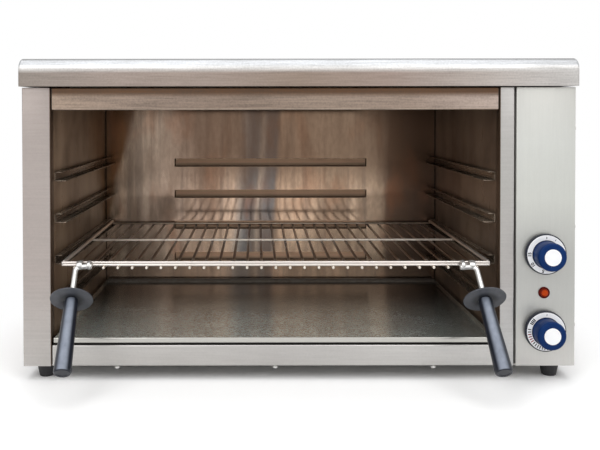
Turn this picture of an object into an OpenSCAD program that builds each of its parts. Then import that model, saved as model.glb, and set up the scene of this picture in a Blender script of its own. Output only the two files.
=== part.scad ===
// Cheese melter: an open-fronted electric salamander grill with a pull-out rack and crumb tray.
// X runs across the front, +Y goes into the cabinet, +Z is up, and the feet stand on Z = 0.

/* [Cabinet] */
// Width across the two side panels
body_w = 680; // [640:2:740]
// Depth from the front faces to the back panel
body_d = 380; // [370:1:420]
// Height of the side panels, without feet and cover
body_h = 343.5; // [335:0.5:380]
// Thickness of the folded sheet metal
sheet = 1; // [0.8:0.1:1.2]
// Depth of the folds behind the front faces
fold_d = 13; // [11:0.5:14]
// Width of the folded flanges at the top and back of a side panel
flange_w = 20; // [16:1:24]

/* [Front] */
// Width of the left front post
post_w = 35; // [32:0.5:40]
// Width of the right front post, in front of the bay divider
divider_w = 18; // [17:0.5:22]
// Width of the control panel
panel_w = 72.5; // [68:0.5:80]
// Dark gap between the right post and the control panel
panel_gap = 2.5; // [1.5:0.5:4]
// Height of the lintel above the opening
lintel_h = 27.5; // [25:0.5:32]
// Height of the bottom rail
rail_h = 26; // [24:0.5:30]
// Depth of the ledge on top of the bottom rail
rail_ledge = 20; // [18:0.5:24]

/* [Cover] */
// Height of the top cover
cover_h = 34.5; // [30:0.5:40]
// Overhang of the cover past each side panel
cover_side = 3.75; // [2:0.25:6]
// Overhang of the cover past the front and the back
cover_lip = 4; // [2:0.5:6]
// Gap between the side panels and the cover
cover_gap = 1.5; // [1:0.5:3]
// Radius of the rounded front edge
cover_round = 14; // [8:0.5:18]
// Radius of the small corners at the two ends
cover_corner = 4; // [2:0.5:6]
// Width of the flange folded under the cover at the front and back
cover_flange = 15; // [12:1:20]

/* [Liner] */
// Space for the insulation between the liner and the back panel
back_space = 33; // [30:1:40]
// Space between the top of the opening and the ceiling of the liner
ceiling_rise = 20; // [18:0.5:22]
// Height of the ribs that the crumb tray slides on
rib_h = 2; // [1.5:0.5:3]
// Width of one of those ribs
rib_w = 12; // [8:1:20]
// Length of a pressed ridge on the back wall
ridge_len = 321; // [240:1:360]
// Height of a pressed ridge
ridge_h = 13; // [9:0.5:14]
// How far a ridge stands out of the back wall
ridge_d = 4.5; // [3:0.5:5]
// Distance from a runner's top down to the top of its ridge
ridge_drop = 3; // [0:0.5:6]
// Thickness of the insulation at the left, back and top
blanket_t = 25; // [18:1:26]
// Thickness of the insulation beside the bay
blanket_bay_t = 12; // [8:1:13]

/* [Runners] */
// Number of rack levels
levels = 4; // [3:1:4]
// Height of the lowest runner's top above the opening's lower edge
runner_first = 55.5; // [54:0.1:58]
// Distance between two levels
runner_pitch = 52.3; // [48:0.1:54]
// Outer height of a runner channel
runner_h = 11.6; // [11:0.1:14]
// Depth of the upper lip
lip_top = 9; // [7:0.5:9]
// Depth of the lower lip, which carries the rack
lip_bottom = 15; // [14:0.5:17]
// Distance from the front face back to the runner's front end
runner_set = 20; // [16:0.5:26]

/* [Rack] */
// Level that the rack stands on, counted from the bottom
rack_level = 2; // [1:1:3]
// Clearance between the rack and each side wall, with the rack in the middle
rack_play = 9.5; // [8:0.5:11]
// Gap between the rack and the back wall
rack_rear = 7.5; // [6:0.5:12]
// Distance from the front face back to the rack's front rail
rack_set = 12.5; // [10:0.5:15]
// How far the rack stands to the right of the middle of its runners
rack_off = 1; // [-1:0.5:1.5]
// Diameter of the side rods
side_rod_d = 5; // [4.5:0.1:5.4]
// Diameter of the cross rails
cross_rod_d = 3.2; // [3:0.1:4]
// Diameter of the thin bars that the food lies on
bar_d = 3.6; // [3:0.1:3.8]
// Distance between two bars
bar_pitch = 17.9; // [17:0.1:18.2]
// Least distance between a side rod and the first bar
bar_side = 12; // [10:0.5:14]
// How far the bars' ends stand out in front of the front rail
bar_nose = 3.5; // [2:0.1:3.8]
// Distance between the front rail and the middle rail
mid_rail = 171; // [140:1:200]
// How far the handles' weight tips the rack forward in its runners
rack_tip = 0.85; // [0.75:0.05:0.85]
// How deep a weld sinks one rod into the other
weld = 0.2; // [0.1:0.05:0.4]

/* [Handles] */
// Distance of each handle from the outermost bar towards the middle
handle_in = 2.6; // [1:0.1:4]
// Slope of the handles below the horizontal
handle_slope = 45; // [35:1:50]
// Lean of the left handle towards the middle
lean_left = 4.5; // [-4:0.5:6]
// Lean of the right handle towards the middle; below zero it leans outwards
lean_right = -2; // [-4:0.5:6]
// Diameter of the handle rod
handle_rod_d = 6.5; // [6:0.1:7]
// Distance from the front rail to the guard disc along the rod
guard_at = 44; // [40:1:56]
// Diameter of the guard disc
guard_d = 51; // [40:1:56]
// Thickness of the guard disc
guard_t = 3; // [2:0.5:4]
// Length of the grip
grip_len = 93; // [75:1:96]
// Diameter of the grip at the guard
grip_d1 = 16; // [15:0.5:20]
// Diameter of the grip at its end
grip_d2 = 20.5; // [18:0.5:23]
// How deep the rod goes into the grip
grip_bore = 60; // [40:1:70]
// Length of the sideways stub at the top of the rod
stub_len = 20; // [18:0.5:22]
// Diameter of the wire of the hook around the front rail
hook_wire = 4.4; // [4:0.1:4.8]

/* [Crumb tray] */
// Side clearance of the tray in the opening
tray_side = 2; // [1:0.5:4]
// Gap between the tray and the back wall
tray_rear = 6; // [5:1:40]
// Height of the tray's rims
tray_h = 7.6; // [6:0.2:10]

/* [Controls] */
// Height of the timer shaft above the floor
timer_z = 157; // [152:0.5:160]
// Height of the pilot lamp
lamp_z = 108.6; // [106:0.1:111]
// Height of the thermostat shaft
thermo_z = 62.4; // [59:0.1:65]
// Distance of the controls to the left of the middle of the panel
control_off = 1.75; // [0:0.25:3]
// Diameter of a knob's skirt
skirt_d = 50; // [44:0.5:54]
// Thickness of the skirt
skirt_t = 6; // [4:0.5:8]
// Gap between the skirt and the panel
skirt_gap = 2; // [1.5:0.25:3]
// Diameter of the white dial ring
dial_d = 47; // [40:0.5:48]
// Thickness of the dial ring
dial_t = 0.6; // [0.4:0.1:1]
// Diameter of the grip of a knob
knob_d = 34.5; // [30:0.5:36]
// Length of the grip of a knob
knob_len = 21; // [16:0.5:24]
// Diameter of the white disc in the middle of a knob
cap_d = 20; // [16:0.5:24]
// Thickness of that disc
cap_t = 0.8; // [0.5:0.1:1.2]
// Diameter of a control shaft
shaft_d = 6; // [5:0.5:7]
// Radial running clearance of a control shaft
shaft_fit = 0.05; // [0.03:0.01:0.1]
// Outer diameter of the pilot lamp's rim
lamp_d = 14.2; // [13:0.1:15]
// Diameter of the lamp's barrel behind the panel
lamp_barrel_d = 12; // [10:0.5:12.5]

/* [Heating] */
// Diameter of a heating element
element_d = 8; // [6:0.5:8.5]
// Distance between the two legs of a hairpin element
element_pitch = 60; // [50:1:66]
// Distance from the front face to the first leg
element_first = 70; // [60:1:80]
// Distance from the ceiling down to the elements' centre line
element_drop = 9; // [8.5:0.5:9.5]
// Diameter of the thermostat's bulb
bulb_d = 6; // [5:0.5:7]
// Length of the bulb
bulb_len = 90; // [70:1:110]
// Diameter of the bulb's capillary tube
capillary_d = 1.8; // [1.5:0.1:2]

/* [Feet and gland] */
// Height of a foot
foot_h = 18; // [16:0.5:22]
// Diameter of a foot at the top
foot_d = 25; // [22:0.5:27]
// Diameter of a foot at the floor
foot_d2 = 18; // [14:0.5:20]
// Distance of a foot's centre from the side of the cabinet
foot_side = 23; // [20:0.5:24]
// Distance of a foot's centre from the front and the back
foot_front = 23; // [20:0.5:40]
// Diameter of the hole for the supply cable in the gland
gland_bore = 9; // [8:0.5:10]
// Diameter of the gland's thread
gland_thread = 16; // [15.5:0.5:18]
// Height of the gland above the floor
gland_z = 62; // [54:1:82]

/* [Hidden] */
$fn = 48;

// Colours
STEEL = [0.76, 0.75, 0.73];
HOT_STEEL = [0.42, 0.33, 0.26];
DARK_STEEL = [0.3, 0.27, 0.24];
WIRE_STEEL = [0.85, 0.83, 0.78];
BLACK = [0.12, 0.12, 0.14];
GUARD_GREY = [0.33, 0.34, 0.36];
BLUE = [0.1, 0.22, 0.5];
WHITE = [0.95, 0.95, 0.95];

// Clearances
eps = 0.5;            // overshoot of a cut past the face it opens
seat = 0.3;           // gap under a sliding piece
slip = 0.3;           // gap of a piece that drops in beside another
hole_fit = 0.15;      // radial clearance of a screw in its hole
bush_fit = 0.05;      // radial clearance of a tube in its bush or bracket

// Cabinet edges
side_x = body_w / 2;
base_z = foot_h;
top_z = foot_h + body_h;
floor_z = base_z + 2 * sheet;                // upper face of the base plate
roof_z = top_z - sheet;                      // lower face of the top flanges
fold_y = sheet + fold_d;
inner_back = body_d - sheet;                 // inner face of the back panel

base_flange_w = post_w - slip;               // bottom flange of a side panel, which carries the feet

// Front openings
open_l = -side_x + post_w;
panel_l = side_x - panel_w;
post_r = panel_l - panel_gap;
open_r = post_r - divider_w;
mid_x = (open_l + open_r) / 2;
open_z = base_z + rail_h;
lintel_z = top_z - lintel_h;
control_x = (panel_l + side_x) / 2 - control_off;

// Liner
cavity_d = inner_back - back_space - sheet;  // depth of the cooking space
liner_l = open_l - sheet;                    // inner face of the left wall
liner_r = open_r + sheet;                    // inner face of the right wall
ceiling_z = lintel_z + ceiling_rise;
liner_floor_z = open_z - sheet;              // upper face of the liner's floor
liner_back = cavity_d + sheet;               // rear face of the liner's back
blanket_in = 20;                             // inset of the blankets from the liner's edges

// Cover
cover_z = top_z + cover_gap;
cover_w = body_w + 2 * cover_side;
cover_d = body_d + 2 * cover_lip;
cover_side_flange = cover_side + flange_w;   // reaches over the side panel's flange

// Runners and rack
runner_z = [for (i = [0 : levels - 1]) open_z + runner_first + i * runner_pitch];
lip_z = runner_z[rack_level - 1] - runner_h + sheet;
rack_z = lip_z + seat + side_rod_d / 2;
rack_x = mid_x + rack_off;
rack_w = liner_r - liner_l - 2 * rack_play;
rack_back = cavity_d - rack_rear;
side_rod_x = rack_w / 2 - side_rod_d / 2;
bar_n = 2 * floor((side_rod_x - bar_side) / bar_pitch) + 1;
front_rise = cross_rod_d - weld / 2;         // the upper front rail lies on the lower one
rail_z = rack_z - front_rise;                // the rails lie under the side rods
bar_z = rail_z - cross_rod_d / 2 - bar_d / 2 + weld;
mid_rail_y = rack_set + mid_rail;

// Handles
handle_rod_r = handle_rod_d / 2;
handle_y = rack_set - cross_rod_d / 2 - bar_nose + 1.5 - handle_rod_r - seat;
handle_z = rail_z - 1.5;
hook_r = front_rise / 2 + cross_rod_d / 2 + hook_wire / 2 - weld / 2;
handle_x = (bar_n - 1) / 2 * bar_pitch - handle_in;
hook_x = handle_x - bar_pitch / 2;
rod_bend_r = 6;
grip_at = guard_at + guard_t;
handle_len = grip_at + grip_len;
grip_chamfer = 1.2;

// Crumb tray
tray_z = liner_floor_z + rib_h + seat;
tray_l = open_l + tray_side;
tray_r = open_r - tray_side;
tray_front = sheet;
tray_back = cavity_d - tray_rear;

// Heating
element_r = element_d / 2;
element_z = ceiling_z - element_drop;
element_gap = element_pitch + 20;            // from one hairpin to the next
legs = [for (i = [0, 1]) for (j = [0, 1]) element_first + i * (element_pitch + element_gap) + j * element_pitch];
bend_x = liner_l + 56;                       // centre of the hairpin bends
element_end = post_r + 20;                   // end of the sheath in the bay
pin_r = 2;
pin_len = 12;
pin_end = element_end + pin_len;
bush_r = element_r + 4;
bush_t = 2;
bracket_t = 2;
bracket_w = element_d + 8;
bracket_h = element_drop + element_r + 2;
bracket_in = 77;                             // distance of the outer brackets from the side walls
bracket_x = [liner_l + bracket_in, mid_x, liner_r - bracket_in];
bulb_r = bulb_d / 2;
bulb_y = cavity_d - 20;
bulb_z = ceiling_z - 8;
bulb_x = mid_x - bulb_len / 2;
clip_x = [bulb_x + 12, bulb_x + bulb_len - 12];
clip_h = 8 + bulb_r + 2;
capillary_r = capillary_d / 2;

// Control bay
box_front = sheet;                           // the timer and thermostat stand on the panel's rear face
timer_box = [45, 40, 45];
thermo_box = [40, 34, 36];
lamp_barrel_len = 22;
lamp_rim_t = 1.5;
lens_d = lamp_d - 4;
lens_rise = 2.5;
shaft_r = shaft_d / 2;
shaft_in = 24;                               // length of the shaft behind the panel's front
shaft_hole_r = shaft_r + 2.5;
knob_face = skirt_gap + skirt_t + knob_len;
shaft_out = knob_face - 8;
block_size = [60, 20, 18];
block_y = inner_back - 50;
block_z = floor_z + block_size[2];
bay_y = block_y - 129;                       // where the wires turn, halfway to the terminal block
wire_r = 1.2;
wire_lap = 0.7;                              // lap of two lengths at a bend, in wire radii
wire_thin = 0.97;                            // every second length, so that no two faces touch at a bend
wire_y = block_y + block_size[1] / 2;

// Screws
screw_r = 2;
head_r = 3.5;
head_h = 2.2;
small_r = 1.6;
control_screw_z = 16;
stud_r = 2.5;
stud_in = 8;
stud_top = floor_z + 6;
nut_r = 4.6;
nut_h = 4;
cover_screw_y = [40, body_d / 2, body_d - 40];
cover_screw_x = side_x - sheet - flange_w / 2;
cover_screw_len = cover_gap + 2 * sheet + 4;
casing_screw_z = [base_z + 50, (base_z + top_z) / 2, top_z - 50];
casing_screw_x = side_x - sheet - flange_w / 2;
panel_screw_y = sheet + fold_d / 2;
rail_screw_y = sheet + fold_d / 2;
rail_screw_pitch = open_r - mid_x - 79.5;
rail_screw_r = 3;

// Gland
gland_r = gland_thread / 2;
gland_flange_r = gland_r + 3.5;
gland_flange_t = 5;
gland_dome_r = gland_r + 2;
gland_dome_len = 14;
gland_in = 14;
gland_out = gland_flange_t + gland_dome_len;
locknut_t = 5;

// Vents
vent_n = 9;
vent_pitch = 8;
vent_w = 44;
vent_h = 3;
vent_top = top_z - 40;

// The origin is under the middle of the whole object's box
tip_reach = max(handle_len * cos(handle_slope) + (grip_d2 / 2 - grip_chamfer) * sin(handle_slope),
                (handle_len - grip_chamfer) * cos(handle_slope) + grip_d2 / 2 * sin(handle_slope)) - handle_y;
back_reach = body_d + gland_out;
shift_y = (tip_reach - back_reach) / 2;

module placed() translate([0, shift_y, 0]) children();

module block(x0, x1, y0, y1, z0, z1) translate([x0, y0, z0]) cube([x1 - x0, y1 - y0, z1 - z0]);

module rod_x(x0, x1, y, z, r) translate([x0, y, z]) rotate([0, 90, 0]) cylinder(r = r, h = x1 - x0);

module rod_y(x, y0, y1, z, r) translate([x, y0, z]) rotate([-90, 0, 0]) cylinder(r = r, h = y1 - y0);

module rod_z(x, y, z0, z1, r) translate([x, y, z0]) cylinder(r = r, h = z1 - z0);

// Extrudes a (y, z) outline from x0 to x1
module along_x(x0, x1) translate([x0, 0, 0]) rotate([90, 0, 90]) linear_extrude(x1 - x0) children();

// Extrudes an (x, z) outline from y0 to y1
module along_y(y0, y1) translate([0, y1, 0]) rotate([90, 0, 0]) linear_extrude(y1 - y0) children();

// One straight length of wire from a to b, run on past its ends into the bends
module wire_leg(a, b, r, before, after) {
    way = (b - a) / norm(b - a);
    translate(a - before * way) rotate([0, acos(way[2]), atan2(way[1], way[0])]) {
        cylinder(r = r, h = norm(b - a) + before + after);
    }
}

// A wire along a list of points, its straight lengths lapping at each bend
module wire(points, r) {
    last = len(points) - 2;
    for (i = [0 : last]) {
        wire_leg(points[i], points[i + 1], r * (i % 2 == 0 ? 1 : wire_thin),
                 i > 0 ? wire_lap * r : 0, i < last ? wire_lap * r : 0);
    }
}

module vent_rows_y(x0, y0, y1, z_top, n) {
    for (i = [0 : n - 1]) block(x0, x0 + vent_w, y0, y1, z_top - i * vent_pitch - vent_h, z_top - i * vent_pitch);
}

// ---- Casing ----

module foot_holes(side) {
    for (y = [foot_front, body_d - foot_front]) {
        rod_z(side * (side_x - foot_side), y, base_z - eps, floor_z + eps, stud_r + hole_fit);
    }
}

module cover_screw_holes(side, z0, z1) {
    for (y = cover_screw_y) rod_z(side * cover_screw_x, y, z0, z1, screw_r + hole_fit);
}

module casing_screw_holes(side, y0, y1) {
    for (z = casing_screw_z) rod_y(side * casing_screw_x, y0, y1, z, small_r + hole_fit);
}

// Wall with its top, bottom and back flanges, drawn for the right side
module side_wall(y0) {
    block(side_x - sheet, side_x, y0, body_d, base_z, top_z);
    block(side_x - base_flange_w, side_x - sheet, sheet, inner_back, base_z, base_z + sheet);
    block(side_x - sheet - flange_w, side_x - sheet, sheet, inner_back, roof_z, top_z);
    block(side_x - sheet - flange_w, side_x - sheet, inner_back - sheet, inner_back, floor_z, roof_z);
}

module side_holes(side) {
    foot_holes(side);
    cover_screw_holes(side, roof_z - eps, top_z + eps);
    casing_screw_holes(side, inner_back - sheet - eps, inner_back + eps);
}

module left_side_panel() color(STEEL) placed() difference() {
    union() {
        mirror([1, 0, 0]) side_wall(0);
        block(-side_x, open_l, 0, sheet, base_z, top_z);
        block(open_l - sheet, open_l, sheet, fold_y, floor_z, roof_z);
    }
    side_holes(-1);
}

module right_side_panel() color(STEEL) placed() difference() {
    side_wall(sheet);
    side_holes(1);
    for (z = casing_screw_z) {
        rod_x(side_x - sheet - eps, side_x + eps, panel_screw_y, z, small_r + hole_fit);
    }
    for (i = [0 : vent_n - 1]) {
        block(side_x - sheet - eps, side_x + eps, body_d - 110, body_d - 110 + vent_w,
              vent_top - i * vent_pitch - vent_h, vent_top - i * vent_pitch);
    }
}

module control_panel() color(STEEL) placed() difference() {
    union() {
        block(panel_l, side_x, 0, sheet, base_z, top_z);
        block(panel_l, panel_l + sheet, sheet, fold_y, floor_z, roof_z);
        block(side_x - 2 * sheet, side_x - sheet, sheet, fold_y, floor_z, roof_z);
    }
    for (z = [timer_z, thermo_z]) {
        rod_y(control_x, -eps, sheet + eps, z, shaft_hole_r);
        for (d = [-control_screw_z, control_screw_z]) {
            rod_y(control_x, -eps, sheet + eps, z + d, screw_r + hole_fit);
        }
    }
    rod_y(control_x, -eps, sheet + eps, lamp_z, lamp_barrel_d / 2 + hole_fit);
    for (z = casing_screw_z) {
        rod_x(side_x - 2 * sheet - eps, side_x - sheet + eps, panel_screw_y, z, small_r + hole_fit);
    }
}

// Right front post, folded into the wall between the cooking space and the control bay
module bay_divider() color(STEEL) placed() difference() {
    union() {
        block(open_r, post_r, 0, sheet, base_z, top_z);
        block(open_r, open_r + sheet, sheet, fold_y, floor_z, roof_z);
        block(post_r - sheet, post_r, sheet, inner_back, floor_z, roof_z);
    }
    for (y = legs) rod_x(post_r - sheet - eps, post_r + eps, y, element_z, element_r + hole_fit);
    rod_x(post_r - sheet - eps, post_r + eps, bulb_y, bulb_z, capillary_r + hole_fit);
}

module front_lintel() color(HOT_STEEL) placed() {
    block(open_l, open_r, 0, sheet, lintel_z, top_z);
    block(open_l, open_r, sheet, fold_y, lintel_z, lintel_z + sheet);
    block(open_l, open_r, sheet, fold_y, roof_z, top_z);
}

module rail_screw_spots() {
    for (i = [-1 : 1]) translate([mid_x + i * rail_screw_pitch, rail_screw_y, 0]) children();
}

module bottom_rail() color(STEEL) placed() difference() {
    union() {
        block(open_l, open_r, 0, sheet, base_z, open_z);
        block(open_l, open_r, sheet, rail_ledge, liner_floor_z, open_z);
        block(open_l, open_r, sheet, fold_y, base_z, base_z + sheet);
    }
    rail_screw_spots() rod_z(0, 0, base_z - eps, base_z + sheet + eps, screw_r + hole_fit);
}

module back_panel() color(STEEL) placed() difference() {
    block(-side_x + sheet + slip, side_x - sheet - slip, inner_back, body_d, base_z, top_z);
    rod_y(control_x, inner_back - eps, body_d + eps, gland_z, gland_r + hole_fit);
    for (side = [-1, 1]) casing_screw_holes(side, inner_back - eps, body_d + eps);
    vent_rows_y(panel_l, inner_back - eps, body_d + eps, vent_top, vent_n);
}

module base_plate() color(STEEL) placed() difference() {
    block(-side_x + sheet + slip, side_x - sheet - slip, sheet, inner_back, base_z + sheet, floor_z);
    for (side = [-1, 1]) foot_holes(side);
    rail_screw_spots() rod_z(0, 0, base_z, floor_z + eps, screw_r + hole_fit);
    for (i = [0 : vent_n - 1]) {
        block(panel_l, side_x - base_flange_w - 2, 120 + i * vent_pitch, 120 + i * vent_pitch + vent_h,
              base_z, floor_z + eps);
    }
}

// Side outline of the cover: a box with a rounded upper front edge
module cover_outline(depth, height, radius) {
    translate([radius, 0]) square([depth - radius, height]);
    square([depth, height - radius]);
    translate([radius, height - radius]) circle(radius);
}

// Front outline of the cover: small rounded upper corners
module end_outline(width, height, radius) {
    translate([-width / 2, 0]) square([width, height - radius]);
    translate([-width / 2 + radius, 0]) square([width - 2 * radius, height]);
    for (s = [-1, 1]) translate([s * (width / 2 - radius), height - radius]) circle(radius);
}

module cover_solid(inset) {
    w = cover_w - 2 * inset;
    d = cover_d - 2 * inset;
    intersection() {
        translate([0, -cover_lip + inset, cover_z + inset]) {
            along_x(-w / 2, w / 2) cover_outline(d, cover_h - 2 * inset, cover_round - inset);
        }
        translate([0, 0, cover_z + inset]) {
            along_y(-cover_lip, body_d + cover_lip) end_outline(w, cover_h - 2 * inset, cover_corner - inset);
        }
    }
}

module top_cover() color(STEEL) placed() difference() {
    cover_solid(0);
    cover_solid(sheet);
    block(-cover_w / 2 + cover_side_flange, cover_w / 2 - cover_side_flange,
          -cover_lip + cover_flange, body_d + cover_lip - cover_flange, cover_z - eps, cover_z + 2 * sheet);
    for (side = [-1, 1]) cover_screw_holes(side, cover_z - eps, cover_z + sheet + eps);
}

// ---- Liner ----

module left_liner() color(HOT_STEEL) placed() {
    block(liner_l - sheet, liner_l, 2 * sheet, liner_back, floor_z, ceiling_z);
}

module right_liner() color(HOT_STEEL) placed() difference() {
    block(liner_r, liner_r + sheet, 2 * sheet, liner_back, floor_z, ceiling_z);
    for (y = legs) rod_x(liner_r - eps, liner_r + sheet + eps, y, element_z, element_r + hole_fit);
    rod_x(liner_r - eps, liner_r + sheet + eps, bulb_y, bulb_z, capillary_r + hole_fit);
}

// A pressed ridge: flat at the top, sloping out to a hard lower edge
module ridge_outline(depth, height) {
    polygon([[0.01, height], [-depth, 0.2 * height], [-depth, 0.1 * height], [0.01, 0]]);
}

module back_liner() color(HOT_STEEL) placed() difference() {
    union() {
        block(liner_l, liner_r, cavity_d, liner_back, floor_z, ceiling_z);
        for (z = runner_z) translate([0, cavity_d, z - ridge_drop - ridge_h]) {
            along_x(mid_x - ridge_len / 2, mid_x + ridge_len / 2) ridge_outline(ridge_d, ridge_h);
        }
    }
    for (z = runner_z) translate([0, cavity_d + sheet, z - ridge_drop - ridge_h + sheet]) {
        along_x(mid_x - ridge_len / 2 + sheet, mid_x + ridge_len / 2 - sheet) {
            ridge_outline(ridge_d, ridge_h - 2 * sheet);
        }
    }
}

module ceiling_reflector() color(HOT_STEEL) placed() {
    block(liner_l - sheet, liner_r + sheet, fold_y, liner_back, ceiling_z, ceiling_z + sheet);
}

// Floor of the liner with three ribs that carry the crumb tray
module liner_floor() color(DARK_STEEL) placed() {
    block(liner_l, liner_r, fold_y, cavity_d, liner_floor_z - sheet, liner_floor_z);
    for (x = [liner_l + 25, mid_x - rib_w / 2, liner_r - 25 - rib_w]) {
        block(x, x + rib_w, rail_ledge + 1, cavity_d, liner_floor_z - sheet, liner_floor_z + rib_h);
    }
}

module top_insulation() color(WHITE) placed() {
    block(liner_l + blanket_in, liner_r - blanket_in, blanket_in, liner_back - blanket_in,
          ceiling_z + sheet, ceiling_z + sheet + blanket_t);
}

module back_insulation() color(WHITE) placed() {
    block(liner_l + blanket_in, liner_r - blanket_in, liner_back, liner_back + blanket_t,
          open_z, ceiling_z - blanket_in);
}

module left_insulation() color(WHITE) placed() {
    block(liner_l - sheet - blanket_t, liner_l - sheet, blanket_in, liner_back - blanket_in,
          open_z, ceiling_z - blanket_in);
}

module bay_insulation() color(WHITE) placed() {
    block(liner_r + sheet, liner_r + sheet + blanket_bay_t, blanket_in, liner_back - blanket_in,
          open_z, ceiling_z - blanket_in);
}

// One channel on the left wall, open towards the cooking space
module runner(z) {
    y1 = cavity_d - 2;
    block(liner_l, liner_l + sheet, runner_set, y1, z - runner_h, z);
    block(liner_l, liner_l + lip_top, runner_set, y1, z - sheet, z);
    block(liner_l, liner_l + lip_bottom, runner_set, y1, z - runner_h, z - runner_h + sheet);
}

module left_runners() color(DARK_STEEL) placed() {
    for (z = runner_z) runner(z);
}

module right_runners() color(DARK_STEEL) placed() {
    translate([2 * mid_x, 0, 0]) mirror([1, 0, 0]) for (z = runner_z) runner(z);
}

// ---- Heating ----

// A hairpin of tube with a threaded pin at each end
module hairpin(y0) {
    for (y = [y0, y0 + element_pitch]) {
        rod_x(bend_x, element_end, y, element_z, element_r);
        rod_x(element_end, pin_end, y, element_z, pin_r);
    }
    translate([bend_x, y0 + element_pitch / 2, element_z]) rotate([0, 0, 90]) {
        rotate_extrude(angle = 180) translate([element_pitch / 2, 0]) circle(element_r);
    }
}

module front_element() color(DARK_STEEL) placed() hairpin(legs[0]);

module rear_element() color(DARK_STEEL) placed() hairpin(legs[2]);

module element_brackets() color(STEEL) placed() {
    for (x = bracket_x) for (y = legs) difference() {
        block(x, x + bracket_t, y - bracket_w / 2, y + bracket_w / 2, ceiling_z - bracket_h, ceiling_z);
        rod_x(x - eps, x + bracket_t + eps, y, element_z, element_r + bush_fit);
    }
}

module element_bushes() color(STEEL) placed() {
    for (y = legs) difference() {
        rod_x(liner_r - bush_t, liner_r, y, element_z, bush_r);
        rod_x(liner_r - bush_t - eps, liner_r + eps, y, element_z, element_r + bush_fit);
    }
}

module thermostat_bulb() color(WIRE_STEEL) placed() rod_x(bulb_x, bulb_x + bulb_len, bulb_y, bulb_z, bulb_r);

module bulb_clips() color(STEEL) placed() {
    for (x = clip_x) difference() {
        block(x, x + bracket_t, bulb_y - bulb_r - 3, bulb_y + bulb_r + 3, ceiling_z - clip_h, ceiling_z);
        rod_x(x - eps, x + bracket_t + eps, bulb_y, bulb_z, bulb_r + bush_fit);
    }
}

module thermostat_capillary() color(WIRE_STEEL) placed() {
    x = post_r + 7;
    wire([[bulb_x + bulb_len, bulb_y, bulb_z], [x, bulb_y, bulb_z], [x, bulb_y, thermo_z + 25],
          [control_x, bay_y, thermo_z], [control_x, box_front + thermo_box[1], thermo_z]], capillary_r);
}

// ---- Control bay ----

// A switch box behind the panel, bored for its shaft and its two screws
module control_box(size, z) {
    difference() {
        block(control_x - size[0] / 2, control_x + size[0] / 2, box_front, box_front + size[1],
              z - size[2] / 2, z + size[2] / 2);
        rod_y(control_x, box_front - eps, shaft_in + seat, z, shaft_r + shaft_fit);
        for (d = [-control_screw_z, control_screw_z]) {
            rod_y(control_x, box_front - eps, box_front + 8, z + d, screw_r + bush_fit);
        }
    }
}

module timer_body() color(WHITE) placed() control_box(timer_box, timer_z);

module thermostat_body() color(STEEL) placed() control_box(thermo_box, thermo_z);

module lamp_body() color([0.35, 0.06, 0.04]) placed() {
    rod_y(control_x, -lamp_rim_t, 0, lamp_z, lamp_d / 2);
    rod_y(control_x, 0, lamp_barrel_len, lamp_z, lamp_barrel_d / 2);
}

module lamp_lens() color([0.9, 0.28, 0.08]) placed() {
    translate([control_x, -lamp_rim_t, lamp_z]) rotate([90, 0, 0]) {
        cylinder(d = lens_d, h = lens_rise / 2);
        translate([0, 0, lens_rise / 2]) cylinder(d1 = lens_d, d2 = lens_d * 0.6, h = lens_rise / 2);
    }
}

module terminal_block() color([0.9, 0.88, 0.8]) placed() {
    block(control_x - block_size[0] / 2, control_x + block_size[0] / 2, block_y, block_y + block_size[1],
          floor_z, block_z);
}

// Wires from the timer, the lamp, the thermostat and the elements to the terminal block
module wiring() color([0.75, 0.25, 0.15]) placed() {
    timer_back = box_front + timer_box[1];
    thermo_back = box_front + thermo_box[1];
    wire([[control_x - 10, timer_back, timer_z + 9], [control_x - 10, 75, timer_z + 9],
          [control_x - 3, 60, lamp_z], [control_x - 3, lamp_barrel_len, lamp_z]], wire_r);
    wire([[control_x + 10, timer_back, timer_z + 9], [control_x + 10, 90, timer_z + 9],
          [control_x + 10, bay_y, timer_z + 40], [control_x + 10, wire_y, timer_z],
          [control_x + 10, wire_y, block_z]], wire_r);
    wire([[control_x + 3, lamp_barrel_len, lamp_z], [control_x + 3, 60, lamp_z],
          [control_x + 18, bay_y, lamp_z + 15], [control_x + 18, wire_y, lamp_z - 20],
          [control_x + 18, wire_y, block_z]], wire_r);
    wire([[control_x - 12, thermo_back, thermo_z + 8], [control_x - 12, 120, thermo_z + 8],
          [control_x - 18, wire_y - 20, lamp_z - 15], [control_x - 18, wire_y, block_z + 20],
          [control_x - 18, wire_y, block_z]], wire_r);
    wire([[pin_end, legs[0], element_z], [control_x + 24, legs[0], element_z],
          [control_x + 25, 150, element_z - 40], [control_x + 25, wire_y - 15, element_z - 140],
          [control_x + 25, wire_y, block_z + 30], [control_x + 25, wire_y, block_z]], wire_r);
    wire([[pin_end, legs[1], element_z], [pin_end + 8, legs[1], element_z],
          [pin_end + 8, legs[2], element_z], [pin_end, legs[2], element_z]], wire_r);
    wire([[pin_end, legs[3], element_z], [pin_end + 10, legs[3], element_z],
          [control_x - 4, wire_y - 5, element_z - 140], [control_x - 4, wire_y, block_z + 30],
          [control_x - 4, wire_y, block_z]], wire_r);
}

module cable_gland() color(BLACK) placed() difference() {
    union() {
        rod_y(control_x, inner_back - gland_in, body_d, gland_z, gland_r);
        translate([control_x, body_d, gland_z]) rotate([-90, 0, 0]) {
            cylinder(r = gland_flange_r, h = gland_flange_t, $fn = 6);
            translate([0, 0, gland_flange_t]) cylinder(r1 = gland_dome_r, r2 = gland_dome_r - 2.5, h = gland_dome_len);
        }
    }
    rod_y(control_x, inner_back - gland_in - eps, back_reach + eps, gland_z, gland_bore / 2);
}

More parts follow.
